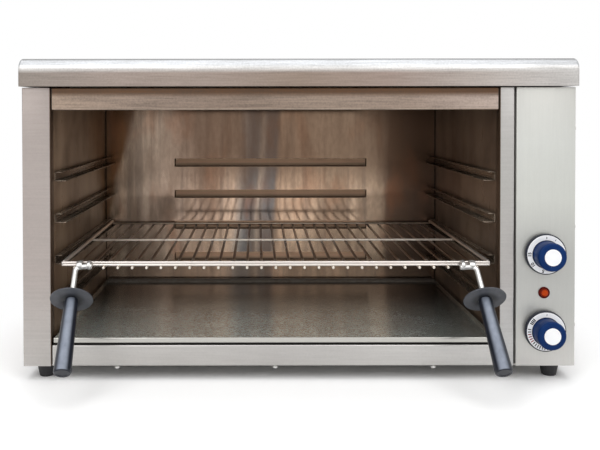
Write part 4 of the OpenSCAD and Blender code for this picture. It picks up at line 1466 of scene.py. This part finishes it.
@dataclass
class Rack(Assembly):
    """The rack: its frame of rods and the bars that the food lies on."""

    body: str = "rack"
    middle: float = -28.0
    half: float = 267.5
    level: float = 144.0
    front: float = 12.5
    back: float = 337.5
    mid_rail: float = 183.5
    rail_radius: float = 1.6
    side_radius: float = 2.5
    rise: float = 3.1
    tip: float = 0.85
    bar_radius: float = 1.8
    bar_level: float = 137.7
    bar_pitch: float = 17.9
    bars: int = 29
    bar_front: float = 8.9

    @property
    def tipped(self) -> Matrix:
        """The turn about the front rail that tips the rack forward in its runners."""
        pivot = at(self.middle, self.front, self.level)
        return Matrix.Translation(pivot) @ Axis.X.turn(self.tip) @ Matrix.Translation(-pivot)

    def build(self) -> None:
        """Models the frame and the bars, and dresses them."""
        wire = Wire().material("rack_wire")
        self.stand_in(self.bench.settle(self._frame(), self.tipped), wire, "rack_frame")
        reach, low = self.half - self.side_radius + self.rail_radius, self.level - self.rise
        middle = self._rail("rack_middle_rail", reach, self.mid_rail, low)
        # The middle rail's paler, less metallic wire is a painted highlight.
        pale = Wire((255, 246, 236), (238, 216, 196), reach=400.0, metallic=0.3).material("middle_rail_wire")
        self.fit(self.bench.settle(middle, self.tipped), pale, "rack_frame")
        browned = Wire((232, 224, 212), (92, 70, 54), reach=60.0).material("bar_wire")
        self.stand_in(self.bench.settle(self._bars(), self.tipped), browned, "rack_bars")

    def _bars(self) -> bpy.types.Object:
        """Models one bar and copies it across the rack.

        Returns:
            The joined bars.
        """
        x = self.middle - (self.bars - 1) / 2 * self.bar_pitch
        first = self.bench.rod("rack_bar", at(x, self.bar_front, self.bar_level),
                               at(x, self.back, self.bar_level), self.bar_radius, nose=1.0, sides=16)
        moves = [(i * self.bar_pitch, 0, 0) for i in range(1, self.bars)]
        return self.bench.repeat("rack_bar_set", first, moves)

    def _frame(self) -> bpy.types.Object:
        """Models the rails and side rods and joins them.

        Returns:
            The joined frame.
        """
        reach, side = self.half - self.rail_radius, self.half - self.side_radius
        low, rear = self.level - self.rise, self.back - self.side_radius
        rods = [self._rail("rail", self.half, self.front, height) for height in (low, self.level)]
        rods.append(self._rail("rail", side + self.rail_radius, rear, low))
        for way in (-1, 1):
            x = self.middle + way * reach
            rods.append(self.bench.rod("link", at(x, self.front, low), at(x, self.front, self.level),
                                       self.rail_radius, nose=0.4))
            x = self.middle + way * side
            rods.append(self.bench.rod("side_rod", at(x, self.front, self.level),
                                       at(x, self.back, self.level), self.side_radius, nose=2.2))
        return self.bench.join("rack_rods", rods)

    def _rail(self, name: str, reach: float, y: float, z: float) -> bpy.types.Object:
        """Models one cross rail with rounded ends."""
        return self.bench.rod(name, at(self.middle - reach, y, z), at(self.middle + reach, y, z),
                              self.rail_radius, nose=1.4)


class Side(Enum):
    """One of the two sides of the rack."""

    LEFT = -1
    RIGHT = 1


@dataclass
class Handle(Assembly):
    """One handle: the bent rod with its hook, the guard disc and the grip."""

    body: str = "rack"
    side: Side = Side.RIGHT
    lean: float = 0.0
    rack_x: float = -28.0
    reach: float = 248.0
    top_y: float = 5.35
    top_z: float = 139.4
    slope: float = 45.0
    rod: float = 3.25
    rod_ease: float = 0.6
    bend: float = 6.0
    stub: float = 20.0
    guard_at: float = 44.0
    guard_thick: float = 3.0
    guard: float = 25.5
    grip: float = 93.0
    grip_bore: float = 60.0
    clasps: Tuple[Point2, ...] = ((243.5, 3.8), (232.0, 2.3))
    clasp_y: float = 9.4
    clasp_z: float = 141.2
    clasp_ring: float = 6.6
    clasp_wire: float = 1.3
    clasp_flat: float = 0.72
    # The turn of the grip's painted sheen about its axis.
    sheen_turn: float = 10.0

    @property
    def name(self) -> str:
        """The side that the handle is on."""
        return self.side.name.lower()

    @property
    def way(self) -> int:
        """The way outwards along the X axis."""
        return self.side.value

    @property
    def frame_matrix(self) -> Matrix:
        """The place of the handle's axis, which runs along +Z from the top of the rod."""
        spot = Matrix.Translation(at(self.rack_x + self.way * self.reach, self.top_y, self.top_z))
        return spot @ Axis.Y.turn(self.way * self.lean) @ Axis.X.turn(90 + self.slope)

    @property
    def grip_low(self) -> float:
        """Where the grip starts along the handle's axis."""
        return self.guard_at + self.guard_thick

    def build(self) -> None:
        """Models the handle and dresses it."""
        wire = Wire((222, 221, 218), (196, 193, 188), reach=400.0).material(f"{self.name}_handle_wire")
        rod = self.bench.join(f"{self.name}_handle_wire", [self._rod(), *map(self._clasp, self.clasps)])
        self.stand_in(rod, wire, f"{self.name}_handle_rod")
        matrix = self.frame_matrix
        # The guard gets painted shade near the grip and a painted sheen outwards; the grip gets a painted
        # sheen along it.
        grey = PaintedSheenPlastic(matrix, (24, 26, 31), (82, 84, 90), span=(9.5, 19.0))
        self.stand_in(self._guard(), grey.material(f"{self.name}_guard_plastic"), f"{self.name}_handle_guard")
        black = PaintedSheenPlastic(matrix @ Axis.Z.turn(self.way * self.sheen_turn), end=self.grip_low + self.grip)
        self.stand_in(self._grip(), black.material(f"{self.name}_grip_plastic"), f"{self.name}_handle_grip")

    def _rod(self) -> bpy.types.Object:
        """Models the rod with its bend and the stub above it.

        Returns:
            The rod.
        """
        low = self.grip_low + self.grip_bore
        piece = self.bench.circle("handle_rod", self.rod, Vector((0, 0, low * MM)), 24, filled=True)
        with self.bench.edit(piece, everything=True):
            self.bench.extrude((0, 0, (self.bend - low) * MM))
            bpy.ops.mesh.spin(steps=10, angle=math.radians(-90 * self.way),
                              center=(-self.way * self.bend * MM, 0, self.bend * MM), axis=(0, 1, 0))
            self.bench.extrude((-self.way * (self.stub - self.bend) * MM, 0, 0))
        self.bench.tidy(piece)
        self.bench.ease(piece, self.rod_ease, segments=3, angle=60)
        self.bench.smooth(piece)
        return self.bench.settle(piece, self.frame_matrix)

    def _clasp(self, size: Point2) -> bpy.types.Object:
        """Models a flat ring that holds the handle's stub to the double front rail.

        Args:
            size: Its place along the stub, and half its width.

        Returns:
            The ring.
        """
        centre = at(self.rack_x + self.way * size[0], self.clasp_y, self.clasp_z)
        piece = self.bench.circle("clasp", self.clasp_wire, centre + Vector((0, self.clasp_ring * MM, 0)), 16,
                                  filled=False)
        with self.bench.edit(piece, everything=True):
            bpy.ops.mesh.spin(steps=40, angle=math.radians(360), center=centre, axis=(1, 0, 0))
        self.bench.tidy(piece)
        with self.bench.edit(piece, everything=True):
            bpy.ops.transform.resize(value=(size[1] / self.clasp_wire, 1, self.clasp_flat),
                                     center_override=centre)
        return self.bench.smooth(piece, angle=60)

    def _guard(self) -> bpy.types.Object:
        """Models the guard disc with its rounded rim and its collar.

        Returns:
            The guard.
        """
        low, high, rim = self.guard_at, self.grip_low, self.guard
        outline = [(self.rod, low), (9.0, low), (9.6, low + 0.4), (rim - 1.4, low + 0.4),
                   (rim - 0.4, low + 0.7), (rim, low + 1.5), (rim - 0.4, high - 0.5), (rim - 1.4, high - 0.2),
                   (11.5, high - 0.4), (10.8, high), (self.rod, high)]
        piece = self.bench.turned(f"{self.name}_guard_disc", outline, sides=96, ring=True)
        return self.bench.settle(piece, self.frame_matrix)

    def _grip(self) -> bpy.types.Object:
        """Models the tapered grip with its flat end.

        Returns:
            The grip.
        """
        low, high = self.grip_low, self.grip_low + self.grip
        outline = [(7.6, low), (8.0, low + 0.6), (8.1, low + 4), (9.0, low + 44), (10.1, high - 3),
                   (10.1, high - 1.8), (9.4, high - 0.6), (8.8, high), (6.4, high), (6.1, high - 0.5)]
        piece = self.bench.turned(f"{self.name}_grip_shape", outline, sides=64)
        return self.bench.settle(piece, self.frame_matrix)


class Ink(Enum):
    """The inks of the dials."""

    DARK = Plastic((12, 14, 22), (24, 26, 34), rough=0.5, gloss=0.1)
    RED = Plastic((150, 16, 30), (120, 14, 26), rough=0.5, gloss=0.1)


@dataclass(frozen=True)
class Mark:
    """One printed mark on a dial."""

    angle: float
    long: float = 3.4
    wide: float = 0.5
    text: str = ""
    ink: Ink = Ink.DARK


@dataclass
class Knob(Assembly):
    """A control knob with its dial ring, its marks and its white disc."""

    name: str = "timer"
    height: float = PLAN.timer
    marks: Tuple[Mark, ...] = ()
    skirt: float = 25.0
    grip: float = 17.25
    face: float = 29.0
    ring: float = 23.5
    disc: float = 10.0
    dial: Point2 = (8.0, 8.6)
    dial_gap: float = 0.35
    letter: float = 5.6
    bold: float = 0.2
    raised: float = 0.04

    @property
    def frame_matrix(self) -> Matrix:
        """The place of the shaft's axis, which runs along +Z out of the panel."""
        return Matrix.Translation(at(PLAN.control_x, 0, self.height)) @ Axis.X.turn(90)

    def build(self) -> None:
        """Models the knob and dresses it."""
        blue = Plastic((10, 42, 92), (16, 52, 106), rough=0.36, skin=500, relief=0.008, gloss=0.1)
        white = Plastic((252, 252, 253), (246, 247, 250), rough=0.4, skin=400, relief=0.005, gloss=0.3)
        navy = Plastic((14, 18, 34), (26, 32, 52), rough=0.4, skin=500, relief=0.008, gloss=0.35)
        knob, printed = f"{self.name}_knob", white.material(f"{self.name}_print")
        self.stand_in(self._turned("knob_grip", self._grip()), blue.material(f"{knob}_plastic"), knob)
        self.fit(self._turned("knob_skirt", self._skirt()), navy.material(f"{self.name}_skirt_plastic"), knob)
        low, high = self.dial
        inner = self.grip + self.dial_gap
        ring = self._turned("dial_ring", [(inner, low), (inner, high), (self.ring - 0.3, high),
                                          (self.ring, high - 0.3), (self.ring, low)], ring=True)
        self.stand_in(ring, printed, f"{self.name}_dial")
        cap = self._turned("cap_disc", [(self.disc, self.face), (self.disc, self.face + 0.5),
                                        (self.disc - 0.3, self.face + 0.8)], sides=64)
        self.stand_in(cap, printed, f"{self.name}_cap")
        for ink in Ink:
            self._print_marks(ink)

    def _turned(self, shape: str, outline: Sequence[Point2], sides: int = 96,
                ring: bool = False) -> bpy.types.Object:
        """Turns an outline round the shaft's axis."""
        return self.bench.settle(self.bench.turned(f"{self.name}_{shape}", outline, sides, ring),
                                 self.frame_matrix)

    def _skirt(self) -> Sequence[Point2]:
        """Gives the outline of the skirt that carries the dial ring."""
        rim = self.skirt
        return [(rim - 1.6, 2), (rim - 0.3, 2.4), (rim, 3.4), (rim, 7.0), (rim - 0.3, 7.7), (rim - 0.9, 8.0),
                (self.grip - 0.4, 8.0)]

    def _grip(self) -> Sequence[Point2]:
        """Gives the outline of the grip, waisted above the dial and rounded at its face."""
        rim, top = self.grip, self.face
        return [(rim - 0.6, 7.9), (rim - 0.75, 9.0), (rim - 0.3, 18), (rim, top - 2.6),
                (rim - 0.25, top - 1.4), (rim - 0.9, top - 0.5), (rim - 2.0, top), (self.disc + 0.4, top)]

    def _print_marks(self, ink: Ink) -> None:
        """Prints the marks of one colour on the dial ring.

        Args:
            ink: Their ink.
        """
        pieces = [self._mark(mark) for mark in self.marks if mark.ink is ink]
        if pieces:
            word = ink.name.lower()
            joined = self.bench.join(f"{self.name}_marks_{word}", pieces)
            self.bench.settle(joined, self.frame_matrix)
            self.fit(joined, ink.value.material(f"{self.name}_ink_{word}"), f"{self.name}_dial")

    def _mark(self, mark: Mark) -> bpy.types.Object:
        """Models one mark, as a bar or as a number, on the ring's middle line.

        Args:
            mark: The mark.

        Returns:
            Its shape, at its place on the ring.
        """
        middle = (self.grip + self.dial_gap + self.ring) / 2
        turn = Axis.Z.turn(mark.angle) @ Matrix.Translation((middle * MM, 0, self.dial[1] * MM))
        if not mark.text:
            half = Vector((mark.long / 2, mark.wide / 2, 0.05)) * MM
            piece = self.bench.block("tick", -half, half)
            self.bench.ease(piece, 0.04, segments=1)
            return self.bench.settle(piece, turn)
        self.bench.clear()
        bpy.ops.object.text_add()
        words = bpy.context.active_object.data
        words.body, words.size, words.extrude = mark.text, self.letter * MM, self.raised * MM
        words.offset = self.bold * MM
        words.align_x, words.align_y = "CENTER", "CENTER"
        bpy.ops.object.convert(target="MESH")
        return self.bench.settle(bpy.context.active_object, turn @ Axis.Z.turn(-90))


@dataclass
class Lamp(Assembly):
    """The pilot lamp."""

    height: float = PLAN.lamp

    def build(self) -> None:
        """Models the lamp's rim and lens."""
        spot = Matrix.Translation(at(PLAN.control_x, 0, self.height)) @ Axis.X.turn(90)
        rim = self.bench.turned("lamp_rim", [
            (6.0, -22), (6.0, 0), (7.1, 0), (7.1, 0.8), (6.7, 1.4), (5.6, 1.5), (5.3, 1.1),
            (5.2, 0.6)], sides=48)
        dark = Plastic((92, 14, 6), (74, 12, 6), rough=0.36, skin=500, relief=0.01, gloss=0.12)
        self.stand_in(self.bench.settle(rim, spot), dark.material("lamp_rim_plastic"), "lamp_body")
        lens = self.bench.turned("lamp_dome", [
            (5.1, 0.9), (5.1, 1.7), (4.8, 2.5), (4.1, 3.2), (3.0, 3.7), (1.6, 3.95), (0.3, 4.0)], sides=48)
        self.stand_in(self.bench.settle(lens, spot), LampGlass().material("lamp_glass"), "lamp_lens")


@dataclass
class Base(Assembly):
    """The feet, the visible screws and the cable gland."""

    foot_x: float = 317.0
    foot_y: Point2 = (23.0, 357.0)
    screw_y: float = 7.5
    screw_pitch: float = 196.5
    gland_z: float = 62.0
    gland_rings: int = 4
    ring_low: float = 5.6
    ring_pitch: float = 2.4
    ring_taper: float = 0.35

    def build(self) -> None:
        """Models the feet, screws and gland, and dresses the fasteners."""
        outline = [(8.3, 0), (8.9, 0.5), (9.2, 1.6), (12.0, 15.4), (12.4, 16.0), (12.5, 16.9), (12.5, 18.0)]
        first = self.bench.turned("foot", outline, sides=48)
        self.bench.settle(first, Matrix.Translation(at(-self.foot_x, self.foot_y[0], 0)))
        wide, deep = 2 * self.foot_x, self.foot_y[1] - self.foot_y[0]
        feet = self.bench.repeat("rubber_feet", first, [(wide, 0, 0), (0, deep, 0), (wide, deep, 0)])
        rubber = Plastic((34, 34, 36), (48, 48, 50), rough=0.62, skin=500, relief=0.03)
        self.stand_in(feet, rubber.material("foot_rubber"), "feet")
        self._rail_screws()
        self._gland()
        bright = Steel(((206, 204, 200),), rough=0.3, metallic=0.8).material("screw_steel")
        self.dress(bright, "foot_studs", "foot_nuts", "cover_screws", "cover_spacers", "casing_screws",
                   "control_screws")

    def _rail_screws(self) -> None:
        """Models the three screws under the bottom rail."""
        first = self.bench.turned("rail_screw", [
            (1.2, 14.2), (1.6, 13.4), (2.8, 13.6), (3.2, 14.4), (3.2, 16), (2, 16.2), (2, 24)], sides=32)
        self.bench.settle(first, Matrix.Translation(at(PLAN.middle, self.screw_y, 0)))
        moves = [(way * self.screw_pitch, 0, 0) for way in (-1, 1)]
        screws = self.bench.repeat("rail_screw_set", first, moves)
        steel = Steel(((236, 235, 232),), rough=0.3, metallic=0.4).material("rail_screw_steel")
        self.stand_in(screws, steel, "rail_screws")

    def _gland(self) -> None:
        """Models the gland's dome with its grooves and its hexagonal flange."""
        spot = Matrix.Translation(at(PLAN.control_x, PLAN.depth, self.gland_z)) @ Axis.X.turn(-90)
        flange = self.bench.turned("gland_flange", [
            (4.6, 0), (11.4, 0), (11.4, 4.4), (10.8, 5), (4.6, 5)], sides=6, ring=True)
        steps = [(4.5, -15), (8.0, -15), (8.0, 5)]
        for i in range(self.gland_rings):
            z, rest = self.ring_low + i * self.ring_pitch, i * self.ring_taper
            steps += [(10 - rest, z), (10 - rest, z + 1.2), (9.5 - rest, z + 1.7)]
        steps += [(8.2, 17.5), (7.5, 19), (4.5, 19)]
        dome = self.bench.turned("gland_dome", steps, sides=48, ring=True)
        nylon = Plastic((32, 32, 34), (46, 46, 48), rough=0.45, skin=600).material("gland_nylon")
        self.bench.ease(flange, 0.5)
        self.bench.settle(flange, Axis.Z.turn(30))
        joined = self.bench.join("gland_shape", [dome, flange])
        self.stand_in(self.bench.settle(joined, spot), nylon, "cable_gland")
        self.dress(nylon, "gland_locknut")


@dataclass
class Inside(Assembly):
    """What lies behind the panels: heating, insulation, switches and wiring."""

    def build(self) -> None:
        """Dresses the solids that stay as they are."""
        tints = ((0.3, (64, 60, 56)), (0.6, (98, 92, 86)), (0.8, (126, 118, 110)))
        sheath = HeatedSteel(tints, Axis.X, rough=0.5, metallic=0.6).material("element_sheath")
        self.dress(sheath, "front_element", "rear_element")
        self.dress(Wool().material("insulation_wool"), "top_insulation", "back_insulation", "left_insulation",
                   "bay_insulation")
        clip = Steel(((172, 162, 150),), rough=0.4, metallic=0.8).material("bracket_steel")
        self.dress(clip, "element_brackets", "element_bushes", "bulb_clips", "thermostat_body")
        copper = Steel(((200, 150, 120),), rough=0.32, metallic=0.85).material("capillary_copper")
        self.dress(copper, "thermostat_bulb", "thermostat_capillary")
        pale = Plastic((226, 222, 208), (206, 200, 184), rough=0.5).material("switch_moulding")
        self.dress(pale, "timer_body", "terminal_block")
        self.dress(Plastic((168, 58, 40), (146, 48, 34), rough=0.5).material("wire_sleeve"), "wiring")
        shaft = Steel(((204, 202, 198),), grain=Axis.Y, rough=0.28, metallic=0.85).material("shaft_steel")
        self.dress(shaft, "timer_shaft", "thermostat_shaft")


# ---- Studio ----


@dataclass(frozen=True)
class SoftLight:
    """A soft square lamp that points at a target, in metres and watts."""

    name: str
    spot: Point3
    target: Point3
    size: float
    power: float

    def hang(self) -> None:
        """Adds the lamp to the scene."""
        data = bpy.data.lights.new(self.name, "AREA")
        data.energy, data.size = self.power, self.size
        lamp = bpy.data.objects.new(self.name, data)
        bpy.context.scene.collection.objects.link(lamp)
        lamp.location = self.spot
        lamp.rotation_euler = (Vector(self.target) - Vector(self.spot)).to_track_quat("-Z", "Y").to_euler()


@dataclass
class Studio:
    """The pale floor, the soft light and the camera."""

    lens: float = 45.84
    sensor: float = 36.0
    camera_x: float = -50.4
    camera_back: float = 937.8
    camera_z: float = 331.2
    pitch: float = 0.968
    roll: float = 0.07
    shift_x: float = 0.0705
    shift_y: float = -0.1665
    floor_size: float = 5.0
    soft: float = 0.48
    paper: float = 1.11
    white_from: Point2 = (0.47, 0.62)
    stretch: Point3 = (1.3, 1.0, 1.0)
    lights: Tuple[SoftLight, ...] = (
        SoftLight("overhead", (0.05, -0.25, 2.0), (0.0, 0.0, 0.3), 2.4, 28.0),
        SoftLight("front_left", (-1.5, -2.2, 2.1), (-0.1, 0.0, 0.2), 1.6, 22.0),
        SoftLight("front_right", (1.5, -2.2, 2.1), (0.1, 0.0, 0.2), 1.6, 16.0))

    def build(self) -> None:
        """Sets up everything around the melter."""
        bpy.context.scene.view_settings.view_transform = "Standard"
        self._camera()
        self._world()
        self._floor()
        for light in self.lights:
            light.hang()

    def _camera(self) -> None:
        """Places the camera in front of the melter."""
        data = bpy.data.cameras.new("camera")
        camera = bpy.data.objects.new("camera", data)
        bpy.context.scene.collection.objects.link(camera)
        data.lens, data.sensor_width, data.sensor_fit = self.lens, self.sensor, "HORIZONTAL"
        data.shift_x, data.shift_y = self.shift_x, self.shift_y
        spot = Matrix.Translation(at(self.camera_x, -self.camera_back, self.camera_z))
        camera.matrix_world = spot @ Axis.X.turn(90 - self.pitch) @ Axis.Z.turn(-self.roll)
        bpy.context.scene.camera = camera

    def _world(self) -> None:
        """Lights the melter from all round, and shows white."""
        world = bpy.data.worlds.new("studio")
        bpy.context.scene.world = world
        graph = Graph(world)
        soft, white = (graph.add("ShaderNodeBackground", {}, {"Color": (1, 1, 1, 1), "Strength": strength})
                       for strength in (self.soft, 1.0))
        graph.close(graph.add("ShaderNodeMixShader", {}, {0: graph.seen(), 1: soft, 2: white}))

    def _floor(self) -> None:
        """Lays the floor, which looks white and keeps the melter's shadow."""
        bpy.ops.object.select_all(action="DESELECT")
        bpy.ops.mesh.primitive_plane_add(size=self.floor_size, location=(0, 0, 0))
        floor = bpy.context.active_object
        floor.name = "floor"
        graph = Graph.named("floor_paper")
        grain = graph.noise((60, 60, 60), 2, 0.5)
        tone = graph.mix(grain, (240, 240, 240), (246, 246, 246))
        paper = graph.add("ShaderNodeBsdfDiffuse", {}, {"Color": tone})
        bright = graph.add("ShaderNodeBsdfDiffuse", {}, {"Color": (self.paper,) * 3 + (1,)})
        wide = graph.add("ShaderNodeVectorMath", {"operation": "MULTIPLY"},
                         {0: graph.place(), 1: self.stretch})
        away = graph.add("ShaderNodeVectorMath", {"operation": "LENGTH"}, {0: wide}, output="Value")
        white = graph.add("ShaderNodeEmission", {}, {"Color": (1, 1, 1, 1), "Strength": 1.0})
        shown = graph.add("ShaderNodeMixShader", {}, {
            0: away.between(*self.white_from), 1: bright, 2: white})
        floor.data.materials.append(graph.close(graph.add("ShaderNodeMixShader", {}, {
            0: graph.seen(), 1: paper, 2: shown})))


TIMER_MARKS = (Mark(90, 3.0, 0.8), Mark(58, 2.0, 0.6), Mark(180, text="15"), Mark(217, text="10"),
               Mark(258, text="5"))
HEAT_MARKS = (Mark(88, 2.6, 0.5), *(Mark(135 + 5.5 * i, 4.4, 1.3) for i in range(4)),
              *(Mark(172 + 8.5 * i, 4.0, 1.1, ink=Ink.RED if 2 <= i < 6 else Ink.DARK) for i in range(14)))


def main() -> None:
    """Builds the melter's sub-assemblies in order, then the studio."""
    logging.basicConfig(level=logging.INFO, format="%(message)s")
    bench = Bench()
    for part in (Cover(bench), Casing(bench), Liner(bench), Tray(bench), Rack(bench),
                 Handle(bench, side=Side.LEFT, lean=4.5), Handle(bench, side=Side.RIGHT, lean=-2.0),
                 Knob(bench, "timer_control", "timer", PLAN.timer, TIMER_MARKS),
                 Knob(bench, "thermostat_control", "thermostat", PLAN.thermostat, HEAT_MARKS),
                 Lamp(bench), Base(bench), Inside(bench)):
        part.build()
        LOG.info("built %s", type(part).__name__)
    Studio().build()


if __name__ == "__main__":
    main()
